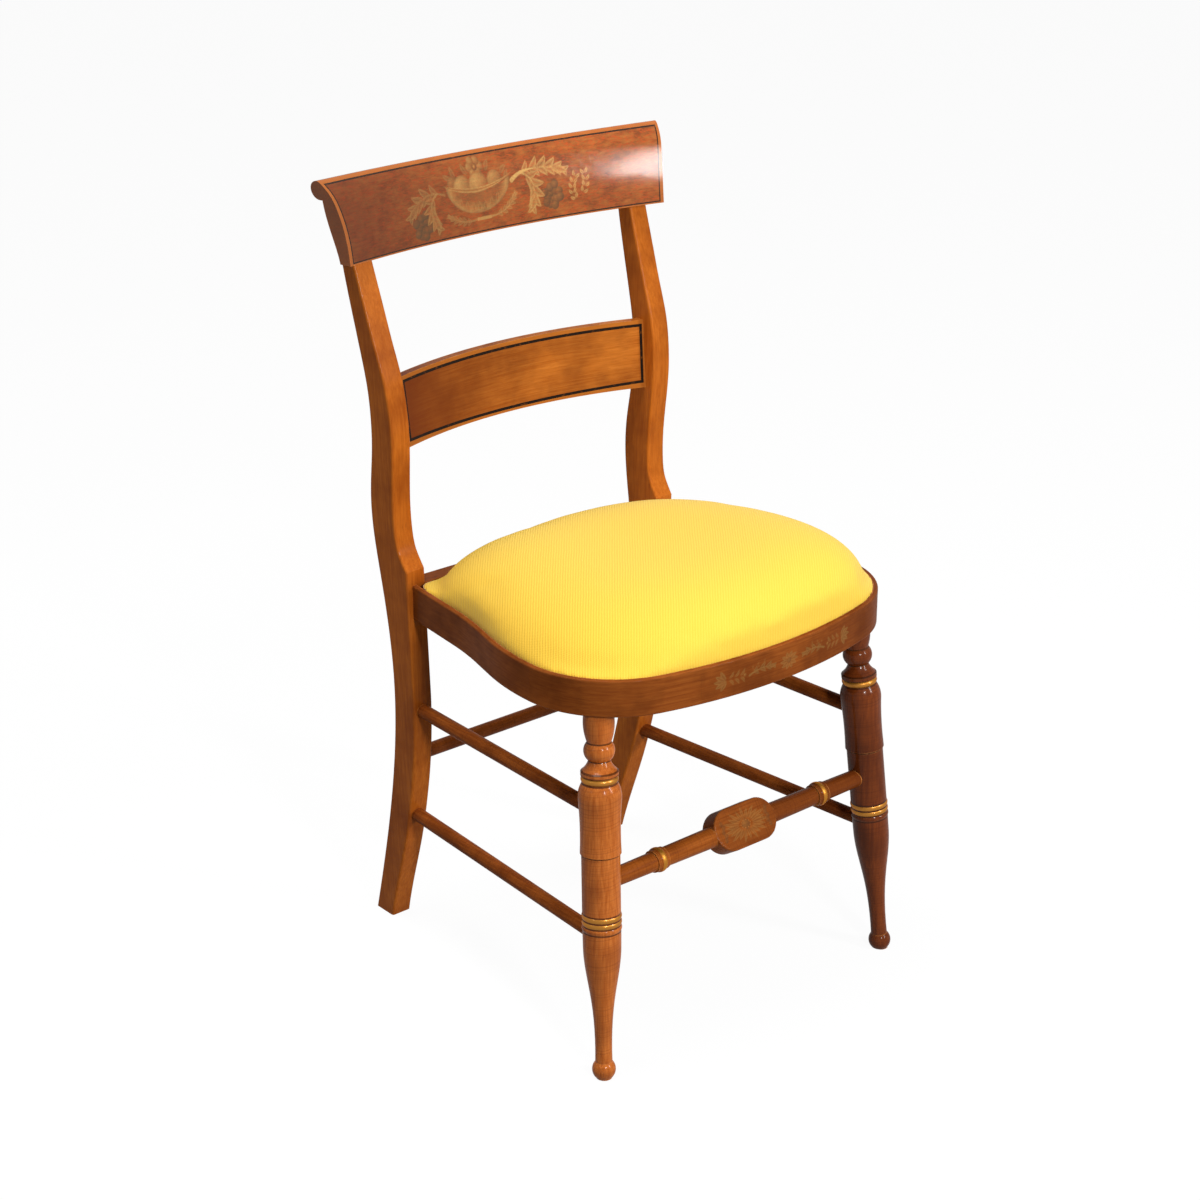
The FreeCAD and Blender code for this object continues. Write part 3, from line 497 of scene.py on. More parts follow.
@dataclass(frozen=True)
class TwillCloth(Finish):
    """Heavy yellow cotton twill, woven in fine diagonal ribs: matt, with a soft shade between the ribs."""

    name: str = "Yellow cotton twill"
    light: str = "#E9C64A"
    hollow: str = "#E4B634"
    # Painted shade: the more orange colour of the cloth's shaded left side
    left_side_shade: str = "#F8B82C"
    rib_pitch: float = 2.65
    rib_angle: float = 41.0
    thread_pitch: float = 1.5
    wander: float = 1.4
    wander_size: float = 30.0
    slub_size: float = 1.9

    def write(self, recipe: Recipe) -> None:
        """Write the woven threads as colour and bump.

        Args:
            recipe: The empty material.
        """
        add = recipe.add
        places = recipe.level_places()
        turned = add("Mapping", {"Vector": places, "Rotation": Euler((0.0, 0.0, math.radians(self.rib_angle)))})
        across = add("SeparateXYZ", {0: turned}, "X")
        along = add("SeparateXYZ", {0: turned}, "Y")
        wander = add("TexNoise", {"Vector": places, "Scale": 1 / self.wander_size, "Detail": 2.0})
        across = add("Math", {0: wander, 1: self.wander, 2: across}, operation="MULTIPLY_ADD")
        phase = add("Math", {0: across, 1: 2 * math.pi / self.rib_pitch}, operation="MULTIPLY")
        rib = add("Math", {0: phase}, operation="SINE")
        thread_phase = add("Math", {0: along, 1: 2 * math.pi / self.thread_pitch, 2: phase},
                           operation="MULTIPLY_ADD")
        thread = add("Math", {0: thread_phase}, operation="SINE")
        weave = add("Math", {0: thread, 1: 0.3, 2: rib}, operation="MULTIPLY_ADD")
        tone = add("MapRange", {"Value": weave, "From Min": -1.2, "From Max": 0.5, "To Min": 0.35})
        slub = add("TexNoise", {"Vector": places, "Scale": 1 / self.slub_size, "Detail": 3.0})
        slubs = add("MapRange", {"Value": slub, "From Min": 0.35, "From Max": 0.65, "To Min": 0.82})
        tone = add("Math", {0: tone, 1: slubs}, operation="MULTIPLY")
        colour = add("Mix", {0: tone, 6: linear(self.hollow), 7: linear(self.light)}, 2, data_type="RGBA")
        # Painted shade: where the cloth faces left and a little up, it turns towards the orange of its shaded side
        facing = add("NewGeometry", {}, "Normal")
        leaning = add("VectorMath", {0: facing, 1: (-0.75, 0.0, 0.3)}, "Value", operation="DOT_PRODUCT")
        left_side_shade = add("MapRange", {"Value": leaning, "From Min": 0.35, "From Max": 0.78, "To Max": 0.35})
        colour = add("Mix", {0: left_side_shade, 6: colour, 7: linear(self.left_side_shade)}, 2, data_type="RGBA")
        bump = add("Bump", {"Strength": 0.35, "Distance": 0.3 / MM, "Height": weave})
        shader = add("BsdfPrincipled", {"Base Color": colour, "Roughness": 0.86, "Normal": bump,
                                        "Sheen Weight": 0.12, "Sheen Roughness": 0.5, "Specular IOR Level": 0.18})
        add("OutputMaterial", {"Surface": shader})


@dataclass(frozen=True)
class Cambric(Finish):
    """Black glazed cotton cambric, tacked under the seat to keep dust in: a flat, dull, close weave."""

    name: str = "Black cotton cambric"
    light: str = "#2B2926"
    dark: str = "#1A1816"
    thread_pitch: float = 1.1

    def write(self, recipe: Recipe) -> None:
        """Write the woven threads as colour and bump.

        Args:
            recipe: The empty material.
        """
        add = recipe.add
        places = recipe.level_places()
        turns = 2 * math.pi / self.thread_pitch
        phases = add("VectorMath", {0: places, 1: (turns, turns, turns)}, operation="MULTIPLY")
        waves = add("VectorMath", {0: phases}, operation="SINE")
        warp = add("SeparateXYZ", {0: waves}, "X")
        weft = add("SeparateXYZ", {0: waves}, "Y")
        weave = add("Math", {0: warp, 1: weft}, operation="MULTIPLY")
        tone = add("MapRange", {"Value": weave, "From Min": -1.0, "From Max": 1.0})
        colour = add("Mix", {0: tone, 6: linear(self.dark), 7: linear(self.light)}, 2, data_type="RGBA")
        bump = add("Bump", {"Strength": 0.3, "Distance": 0.1 / MM, "Height": weave})
        shader = add("BsdfPrincipled", {"Base Color": colour, "Roughness": 0.8, "Normal": bump})
        add("OutputMaterial", {"Surface": shader})


@dataclass(frozen=True)
class Steel(Finish):
    """Drawn steel wire and rod, left bright or blued: fine turning marks and dull patches."""

    light: str
    dark: str
    roughness: float
    patch_size: float = 2.5

    def write(self, recipe: Recipe) -> None:
        """Write the metal with its patches.

        Args:
            recipe: The empty material.
        """
        add = recipe.add
        places = recipe.level_places()
        patch = add("TexNoise", {"Vector": places, "Scale": 1 / self.patch_size, "Detail": 4.0})
        colour = add("Mix", {0: patch, 6: linear(self.dark), 7: linear(self.light)}, 2, data_type="RGBA")
        rough = add("MapRange", {"Value": patch, "To Min": self.roughness - 0.1, "To Max": self.roughness + 0.15})
        bump = add("Bump", {"Strength": 0.2, "Distance": 0.05 / MM, "Height": patch})
        shader = add("BsdfPrincipled", {"Base Color": colour, "Roughness": rough, "Metallic": 1.0, "Normal": bump})
        add("OutputMaterial", {"Surface": shader})


def only(piece: bpy.types.Object) -> None:
    """Select one piece alone and make it the active one.

    Args:
        piece: The piece that the next operators act on.
    """
    bpy.ops.object.select_all(action="DESELECT")
    piece.select_set(True)
    bpy.context.view_layer.objects.active = piece


def corners(mesh: bpy.types.Mesh) -> np.ndarray:
    """Read a mesh's vertex places.

    Args:
        mesh: The mesh to read.

    Returns:
        A row of x, y and z for each vertex.
    """
    places = np.empty(len(mesh.vertices) * 3)
    mesh.vertices.foreach_get("co", places)
    return places.reshape(-1, 3)


def set_corners(mesh: bpy.types.Mesh, places: np.ndarray) -> None:
    """Move a mesh's vertices.

    Args:
        mesh: The mesh to change.
        places: A row of x, y and z for each vertex.
    """
    mesh.vertices.foreach_set("co", places.ravel())
    mesh.update()


def modify(piece: bpy.types.Object, kind: str, **settings: object) -> None:
    """Add a modifier to a piece and apply it.

    Args:
        piece: The piece to change.
        kind: The modifier's type.
        **settings: The modifier's own properties.
    """
    only(piece)
    modifier = piece.modifiers.new(kind.title(), kind)
    for name, value in settings.items():
        setattr(modifier, name, value)
    bpy.ops.object.modifier_apply(modifier=modifier.name)


def copied(node: str, name: str) -> bpy.types.Object:
    """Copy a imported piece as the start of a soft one.

    Args:
        node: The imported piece's name.
        name: The copy's name.

    Returns:
        The copy, with its own mesh.
    """
    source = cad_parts[node]
    copy = bpy.data.objects.new(name, source.data.copy())
    bpy.context.collection.objects.link(copy)
    copy.matrix_world = source.matrix_world
    return copy


def complete(piece: bpy.types.Object, material: bpy.types.Material, slot: str) -> None:
    """Give a new piece its finish and fix it to the chair.

    Args:
        piece: The finished piece.
        material: Its finish.
        slot: Not used.
    """
    piece.data.materials.clear()
    piece.data.materials.append(material)
    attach(piece, "root")


@dataclass(frozen=True)
class Curve:
    """A curve that leaves its root towards a knee and bends to its tip."""

    root: Point
    knee: Point
    tip: Point

    def at(self, share: float) -> Place:
        """Find a point on the curve.

        Args:
            share: How far along the point is, from 0 to 1.

        Returns:
            Its x and y, and the angle in radians at which the curve runs there.
        """
        rest = 1 - share
        (x0, y0), (x1, y1), (x2, y2) = self.root, self.knee, self.tip
        x = rest ** 2 * x0 + 2 * share * rest * x1 + share ** 2 * x2
        y = rest ** 2 * y0 + 2 * share * rest * y1 + share ** 2 * y2
        return x, y, math.atan2(rest * (y1 - y0) + share * (y2 - y1), rest * (x1 - x0) + share * (x2 - x1))


def way_from(foot: Point, turn: float, length: float) -> Point:
    """Return the point that lies a length from a foot, at an angle in radians."""
    return foot[0] + length * math.cos(turn), foot[1] + length * math.sin(turn)


def oval(count: int, width: float, height: float, start: float = 0.0, middle: float = 0.0) -> list[Point]:
    """Spread points evenly round an oval.

    Args:
        count: How many points there are.
        width: The oval's half width.
        height: Its half height.
        start: How many steps past plus X the first point is.
        middle: The height of the oval's middle.

    Returns:
        The points in order.
    """
    turns = [math.tau * (number + start) / count for number in range(count)]
    return [(width * math.cos(turn), middle + height * math.sin(turn)) for turn in turns]


class Drawing:
    """A stencil drawing on a flat sheet, as amounts of bronze powder and of umber glaze at each point."""

    # How wide a cut-out's soft edge and half a leaf's vein are, in mm
    edge: float = 0.55
    vein: float = 0.32

    def __init__(self, across: np.ndarray, up: np.ndarray) -> None:
        """Start a blank sheet.

        Args:
            across: Each point's place to the right, in mm.
            up: Each point's height, in mm.
        """
        self.across = across
        self.up = up
        self.bronze = np.zeros_like(across)
        self.umber = np.zeros_like(across)

    def cover(self, inside: np.ndarray, value: np.ndarray | float, umber: np.ndarray | float = 0.0) -> None:
        """Lay one cut-out over what is drawn already.

        Args:
            inside: Each point's depth inside the cut-out, in mm.
            value: The bronze in it.
            umber: The umber in it.
        """
        mask = np.clip(inside / self.edge + 0.5, 0.0, 1.0)
        self.bronze = self.bronze * (1 - mask) + mask * value
        self.umber = self.umber * (1 - mask) + mask * umber

    def leaf(self, base: Point, tip: Point, width: float, bend: float = 0.0, strength: float = 1.0,
             umber: float = 0.0) -> None:
        """Draw a pointed leaf, bright at its edge and tip and faint along its vein.

        Args:
            base: Where the leaf leaves its stem.
            tip: Its point.
            width: Its width at the widest.
            bend: How far its middle bows to the left, as a share of its length.
            strength: Its powder where it is brightest.
            umber: Its umber.
        """
        way = np.array(tip) - np.array(base)
        length = float(np.hypot(*way))
        way = way / length
        along = ((self.across - base[0]) * way[0] + (self.up - base[1]) * way[1]) / length
        aside = (self.up - base[1]) * way[0] - (self.across - base[0]) * way[1]
        share = np.clip(along, 0.0, 1.0)
        aside = aside - bend * length * 4 * share * (1 - share)
        half = width / 2 * np.sin(np.pi * share ** 0.8) ** 0.85
        inside = np.where((along < 0) | (along > 1), -1.0, half - np.abs(aside))
        rim = np.clip(np.abs(aside) / np.maximum(half, 0.1), 0.0, 1.0)
        value = strength * (0.28 + 0.5 * rim ** 1.6 + 0.3 * share ** 2)
        value = np.where(np.abs(aside) < self.vein, value * 0.45, value)
        self.cover(inside, value, umber)

    def ball(self, centre: Point, radius: float, strength: float = 1.0, umber: float = 0.0) -> None:
        """Draw a round fruit, bright where the light falls from the upper left and dark at its far side.

        Args:
            centre: The fruit's middle.
            radius: Its radius.
            strength: Its powder where it is brightest.
            umber: The umber on its dark side.
        """
        x = (self.across - centre[0]) / radius
        y = (self.up - centre[1]) / radius
        out = np.hypot(x, y)
        light = np.clip(1.0 - np.hypot(x + 0.35, y - 0.35) / 1.25, 0.0, 1.0)
        rim = np.clip((out - 0.82) / 0.18, 0.0, 1.0)
        value = strength * (0.22 + 0.75 * light) * (1 - 0.55 * rim)
        self.cover((1 - out) * radius, value, umber * (1 - 0.6 * light))

    def stroke(self, curve: Curve, width: float, strength: float, umber: float = 0.0) -> None:
        """Draw a curved stem that tapers to its tip.

        Args:
            curve: The stem's middle line.
            width: Its width at the root.
            strength: Its powder.
            umber: Its umber.
        """
        inside = np.full_like(self.across, -1.0e3)
        for share in np.linspace(0.0, 1.0, 30):
            x, y, _ = curve.at(share)
            half = width / 2 * (1.0 - 0.75 * share)
            inside = np.maximum(inside, half - np.hypot(self.across - x, self.up - y))
        self.cover(inside, strength, umber)

    def acanthus(self, curve: Curve, lobes: int, reach: float, strength: float, umber: float = 0.1) -> None:
        """Draw a curved leaf with pointed lobes down both of its edges.

        Args:
            curve: The leaf's vein.
            lobes: How many pairs of lobes it has.
            reach: The longest lobe's length.
            strength: Its powder where it is brightest.
            umber: Its umber.
        """
        for number in range(lobes):
            share = 0.18 + 0.7 * number / (lobes - 1)
            x, y, angle = curve.at(share)
            length = reach * (0.55 + 0.45 * math.sin(math.pi * share))
            for side in (-1, 1):
                turn = angle + side * math.radians(48 - 24 * share)
                self.leaf((x, y), way_from((x, y), turn, length), length * 0.44, -0.12 * side,
                          strength * (0.78 + 0.22 * share), umber)
        self.leaf(curve.at(0.8)[:2], curve.tip, reach * 0.44, 0.0, strength, umber)
        self.stroke(curve, 2.2, strength * 0.85, umber)
        self.stroke(curve, 0.8, strength * 0.2, 0.35)

    def sprig(self, curve: Curve, pairs: int, length: float, strength: float) -> None:
        """Draw small separate leaves in pairs along a curve, with no stem.

        Args:
            curve: The line that the leaves follow.
            pairs: How many pairs of leaves it has.
            length: Each leaf's length.
            strength: The leaves' powder.
        """
        for number in range(pairs):
            x, y, angle = curve.at((number + 0.5) / pairs)
            for side in (-1, 1):
                turn = angle + side * math.radians(34)
                self.leaf(way_from((x, y), turn, 1.1), way_from((x, y), turn, length), length * 0.4, 0.1 * side,
                          strength)

    def grapes(self, middle: Point, size: float, count: int, strength: float, umber: float) -> None:
        """Draw a loose bunch of round grapes, widest at its top.

        Args:
            middle: The bunch's middle.
            size: Half its height.
            count: How many grapes it has.
            strength: A grape's powder where it is brightest.
            umber: Its umber.
        """
        for number in range(count):
            turn = 2.4 * number
            out = size * math.sqrt((number + 0.5) / count)
            y = out * math.sin(turn)
            x = out * math.cos(turn) * (0.85 + 0.3 * y / size)
            self.ball((middle[0] + x, middle[1] + y), size * 0.36, strength, umber)


def draw_fruit_bowl(sheet: Drawing) -> None:
    """Draw the crest's footed bowl of fruit between two leaf scrolls.

    Args:
        sheet: The drawing, with its middle under the bowl.
    """
    rim_height, bowl_half, bowl_depth, sag = 13.0, 43.0, 32.0, 11.0
    sheet.grapes((-80.0, -21.0), 13.5, 14, 0.08, 1.0)
    sheet.grapes((98.0, -15.0), 13.5, 14, 0.14, 0.9)
    sheet.acanthus(Curve((-46.0, 6.0), (-76.0, 18.0), (-98.0, -12.0)), 5, 17.0, 0.45, 0.25)
    sheet.acanthus(Curve((-56.0, 9.0), (-76.0, -2.0), (-56.0, -29.0)), 5, 16.0, 0.6, 0.2)
    sheet.acanthus(Curve((48.0, 10.0), (84.0, 24.0), (120.0, 8.0)), 6, 17.0, 1.0, 0.1)
    sheet.acanthus(Curve((58.0, 14.0), (84.0, 6.0), (70.0, -27.0)), 5, 19.0, 1.0, 0.1)
    sheet.stroke(Curve((46.0, 8.0), (58.0, 17.0), (76.0, 16.0)), 5.0, 0.9, 0.1)
    sheet.sprig(Curve((131.0, -26.0), (120.0, -11.0), (131.0, 3.0)), 5, 8.0, 1.2)
    sheet.sprig(Curve((136.0, -20.0), (146.0, -9.0), (142.0, 6.0)), 4, 8.0, 1.2)
    for x, y, turn_angle in ((-38.0, 22.0, 150), (-30.0, 25.0, 110), (36.0, 20.0, 40), (40.0, 14.0, 75),
                             (16.0, 26.0, 60), (-14.0, 26.0, 120)):
        turn = math.radians(turn_angle)
        sheet.leaf(way_from((x, y), turn, -5.0), way_from((x, y), turn, 7.0), 5.0, 0.08, 0.36, 0.25)
    for petal in oval(6, 7.2, 6.4, middle=27.0):
        sheet.ball(petal, 4.4, 0.5, 0.35)
    sheet.ball((0.0, 27.0), 3.4, 0.12, 0.7)
    sheet.ball((0.0, 27.0), 1.5, 0.7)
    for x, y, radius, bright in ((-33.0, 16.0, 7.0, 0.34), (-21.0, 10.0, 12.0, 0.72), (23.0, 12.0, 10.0, 0.6),
                                 (1.0, 10.0, 13.0, 0.74)):
        sheet.ball((x, y), radius, bright, 0.3)
    share = np.clip((rim_height - sheet.up) / bowl_depth, 0.0, 1.0)
    half = bowl_half * np.sqrt(np.clip(1 - share ** 1.9, 0.0, 1.0))
    lip = rim_height - sag * (1 - (sheet.across / bowl_half) ** 2)
    wall = np.minimum(half - np.abs(sheet.across), sheet.up - rim_height + bowl_depth)
    inside = np.minimum(wall, lip - sheet.up)
    low_glow = np.clip(1 - np.abs(wall - 4.0) / 8.0, 0.0, 1.0)
    flutes = 0.12 * np.clip(np.cos(sheet.across / 2.0), 0.0, 1.0) * np.clip(1 - wall / 16.0, 0.0, 1.0)
    sheet.cover(inside, 0.1 + 0.3 * low_glow + flutes, 0.5 * np.clip(1 - wall / 3.5, 0.0, 1.0) + 0.12)
    for number in range(-3, 4):
        x = 8.0 * number
        base = rim_height - bowl_depth + 3.0 + 0.012 * x * x
        sheet.leaf((x, base), (x + 0.6 * number, base + 9.0), 3.8, 0.0, 0.5, 0.1)
    sheet.leaf((-46.0, rim_height + 1.5), (47.0, rim_height + 3.5), 4.4, -0.11, 0.95, 0.05)
    foot = np.minimum(10.0 - np.abs(sheet.across - 5.0), 1.7 - np.abs(sheet.up + 25.5))
    sheet.cover(foot, 0.62)
    sheet.acanthus(Curve((16.0, -25.0), (40.0, -24.0), (50.0, -4.0)), 6, 9.0, 0.78, 0.1)
    sheet.acanthus(Curve((-6.0, -25.5), (-26.0, -29.0), (-46.0, -15.0)), 6, 8.5, 0.56, 0.15)


def draw_band_leaves(sheet: Drawing) -> None:
    """Draw the faint border on the seat band: a palmette with scrolls that run out to a fan each side.

    Args:
        sheet: The drawing, with its middle on the front of the band.
    """
    for side in (-1, 1):
        for angle in (-70, -35, 0, 35, 70):
            turn = math.radians(angle)
            tip = (side * (86.0 + 13.0 * math.cos(turn)), 11.5 * math.sin(turn))
            sheet.leaf((side * 84.0, 0.0), tip, 5.0, 0.05, 0.62, 0.2)
        for x in (80.0, 73.0, 66.0):
            for way in (-1, 1):
                sheet.leaf((side * x, way * 0.8), (side * (x - 6.0), way * 8.0), 2.8, 0.12 * way * side, 0.6, 0.1)
        sheet.ball((side * 60.0, 0.0), 2.0, 0.6)
        sheet.acanthus(Curve((side * 54.0, -2.0), (side * 38.0, 5.0), (side * 20.0, 0.0)), 4, 9.5, 0.6, 0.25)
        sheet.sprig(Curve((side * 54.0, 2.0), (side * 46.0, 7.0), (side * 32.0, 8.0)), 3, 4.5, 0.5)
    for foot, tip in zip(oval(10, 2.5, 2.5), oval(10, 13.0, 10.0)):
        sheet.leaf(foot, tip, 4.0, 0.05, 0.58, 0.2)
    sheet.ball((0.0, 0.0), 2.8, 0.3, 0.6)


def draw_tablet_flower(sheet: Drawing) -> None:
    """Draw the long oval flower on the front stretcher's tablet.

    Args:
        sheet: The drawing, with its middle on the tablet.
    """
    long_petals, short_petals = oval(22, 33.0, 19.0, 0.5), oval(22, 33.0 * 0.86, 19.0 * 0.86, 0.5)
    for number, root in enumerate(oval(22, 9.0, 5.0, 0.5)):
        tip = long_petals[number] if number % 2 else short_petals[number]
        sheet.leaf(root, tip, 3.6, 0.03, 0.5, 0.16)
    for number in range(5):
        for side in (-1, 1):
            sheet.ball((side * (32.0 - 2.0 * (number % 2)), -9.0 + 4.5 * number), 2.6, 0.12, 0.45)
    sheet.ball((0.0, 0.0), 5.6, 0.3, 0.6)
    for seed in oval(10, 6.6, 4.0):
        sheet.ball(seed, 0.9, 0.62)


@dataclass
class StencilSheet:
    """The thin film of varnish and powder that one stencil leaves on the wood."""

    name: str
    carrier: str
    slot: str
    width: float
    height: float
    draw: Callable[[Drawing], None]
    place: Callable[[np.ndarray, np.ndarray], np.ndarray]
    finish: Stenciled
    cell: float = 0.7
    lift: float = 0.12

    def build(self) -> None:
        """Model the film, lay it on its carrier and powder it."""
        bpy.ops.object.select_all(action="DESELECT")
        bpy.ops.mesh.primitive_grid_add(x_subdivisions=round(self.width / self.cell),
                                        y_subdivisions=round(self.height / self.cell), size=1.0)
        film = bpy.context.object
        film.name = film.data.name = self.name
        flat = corners(film.data)
        across, up = flat[:, 0] * self.width, flat[:, 1] * self.height
        sheet = Drawing(across, up)
        self.draw(sheet)
        set_corners(film.data, STANCE.place(self.place(across, up)))
        modify(film, "SHRINKWRAP", target=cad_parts[self.carrier], wrap_method="NEAREST_SURFACEPOINT",
               wrap_mode="ABOVE_SURFACE", offset=self.lift / MM)
        for name, values in (("bronze", sheet.bronze), ("umber", sheet.umber)):
            attribute = film.data.attributes.new(name, "FLOAT", "POINT")
            attribute.data.foreach_set("value", values.astype(np.float32))
        bpy.ops.object.shade_smooth()
        complete(film, self.finish.build(), self.slot)


@dataclass
class Crest:
    """The bowed crest rail: its lined face and its stencil."""

    bow_centre: float = -800.27
    bow_radius: float = 1000.0
    low: float = 779.0
    flare_reach: float = 26.0
    flare_height: float = 85.0
    flare_power: float = 2.4
    stencil_across: float = -26.0
    stencil_up: float = 41.0
    stencil_width: float = 306.0
    stencil_height: float = 76.0
    # Painted shade: the crest is laid darker towards its left end, where its bowed face turns away from the light
    finish: LinedRail = field(default_factory=lambda: LinedRail(
        "Grained and varnished maple, crest", Grain.MOTTLED, "#A5622C", "#86451B", "#502410", "#BC6C36",
        fleck="#B5481A", roughness=0.4, cloud_size=18.0, line_width=1.5, end_middle=211.6, painted_shade_share=0.7,
        varnish=0.45, margin="#B06428", end_curve=(-0.02, 0.00145)))

    def face(self, across: np.ndarray, up: np.ndarray) -> np.ndarray:
        """Find level places just before the crest's face.

        Args:
            across: Arc length to the right of the stencil's middle, in mm.
            up: Height above the stencil's middle, in mm.

        Returns:
            Rows of x, y and z in level millimetres.
        """
        turn = (across + self.stencil_across) / self.bow_radius
        rise = up + self.stencil_up
        reach = self.bow_radius + self.flare_reach * (rise / self.flare_height) ** self.flare_power
        return np.column_stack((reach * np.sin(turn), self.bow_centre + reach * np.cos(turn), self.low + rise))

    def dress(self) -> None:
        """Give the crest its varnish, line and stencil."""
        set_finish(self.finish.build(), "crest_rail")
        finish = Stenciled("Bronze powder stencil, crest", self.finish)
        StencilSheet("crest_stencil", "crest_rail", "crest_wood", self.stencil_width, self.stencil_height,
                     draw_fruit_bowl, self.face, finish).build()
        log.info("crest: varnished, lined and stenciled")


@dataclass
class SeatBand:
    """The bent seat band with the faint stencil on its front."""

    front_reach: float = 240.0
    bow_radius: float = 540.0
    middle_height: float = 415.5
    stencil_across: float = 13.0
    stencil_width: float = 226.0
    stencil_height: float = 27.0
    # Painted shade: the band is laid darker towards its right end
    finish: StainedMaple = field(default_factory=lambda: StainedMaple(
        "Stained and varnished maple, seat band", Grain.SIDEWAYS, "#93501F", "#7B3C15", "#50230C", "#C27C49",
        wear=0.9, cloud_size=42.0, varnish=0.03, gloss=0.01, painted_shade_share=0.6, painted_shade_reach=(30.0, 190.0)))

    def face(self, across: np.ndarray, up: np.ndarray) -> np.ndarray:
        """Find level places on the band's bowed front.

        Args:
            across: Arc length to the right of the stencil's middle, in mm.
            up: Height above the stencil's middle, in mm.

        Returns:
            Rows of x, y and z in level millimetres.
        """
        turn = (across + self.stencil_across) / self.bow_radius
        centre = self.bow_radius - self.front_reach
        return np.column_stack((self.bow_radius * np.sin(turn), centre - self.bow_radius * np.cos(turn),
                                self.middle_height + up))

    def dress(self) -> None:
        """Give the band its varnish and stencil, and the back rail the same varnish."""
        set_finish(self.finish.build(), "seat_band", "back_seat_rail")
        finish = Stenciled("Bronze powder stencil, band", self.finish, gold="#AE8A4C", strength=0.72)
        StencilSheet("band_stencil", "seat_band", "band_wood", self.stencil_width, self.stencil_height,
                     draw_band_leaves, self.face, finish).build()
        log.info("seat band: varnished and stenciled")


@dataclass
class FrontStretcher:
    """The turned front stretcher, its gilt collars and the flower on its tablet."""

    reach: float = 187.0
    height: float = 212.0
    tablet_thickness: float = 22.0
    tablet_tilt_angle: float = 33.0
    stencil_width: float = 68.0
    stencil_height: float = 38.0
    stencil_cell: float = 0.55
    # Painted shade: the stretcher is laid darker towards its right end
    finish: GiltTurning = field(default_factory=lambda: GiltTurning(
        "Stained maple turning with gilt collars", Grain.ACROSS, "#A65A20", "#884415", "#522109", painted_shade_share=0.6,
        painted_shade_reach=(-30.0, 60.0), ring_axis=(1.0, 0.0, 0.0), axis=(1.0, 0.0, 0.0), rings=((116.0, 5.2),)))

    def face(self, across: np.ndarray, up: np.ndarray) -> np.ndarray:
        """Find level places on the tablet's tipped face.

        Args:
            across: Distance to the right of the tablet's middle, in mm.
            up: Distance up the face from the middle, in mm.

        Returns:
            Rows of x, y and z in level millimetres.
        """
        tilt = math.radians(self.tablet_tilt_angle)
        half = self.tablet_thickness / 2
        y = -self.reach - half * math.cos(tilt) + up * math.sin(tilt)
        z = self.height + half * math.sin(tilt) + up * math.cos(tilt)
        return np.column_stack((across, y, z))

    def dress(self) -> None:
        """Give the stretcher its varnish and gilding, and the tablet its flower."""
        set_finish(self.finish.build(), "front_stretcher")
        finish = Stenciled("Bronze powder stencil, tablet", self.finish, gold="#B08A48", strength=0.7)
        StencilSheet("tablet_stencil", "front_stretcher", "turned_stretcher_wood", self.stencil_width,
                     self.stencil_height, draw_tablet_flower, self.face, finish, cell=self.stencil_cell).build()
        log.info("front stretcher: varnished, gilt and stenciled")


def set_finish(material: bpy.types.Material, *nodes: str) -> None:
    """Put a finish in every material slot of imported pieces.

    Args:
        material: The finish.
        *nodes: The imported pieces' names.
    """
    for node in nodes:
        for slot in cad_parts[node].material_slots:
            slot.material = material


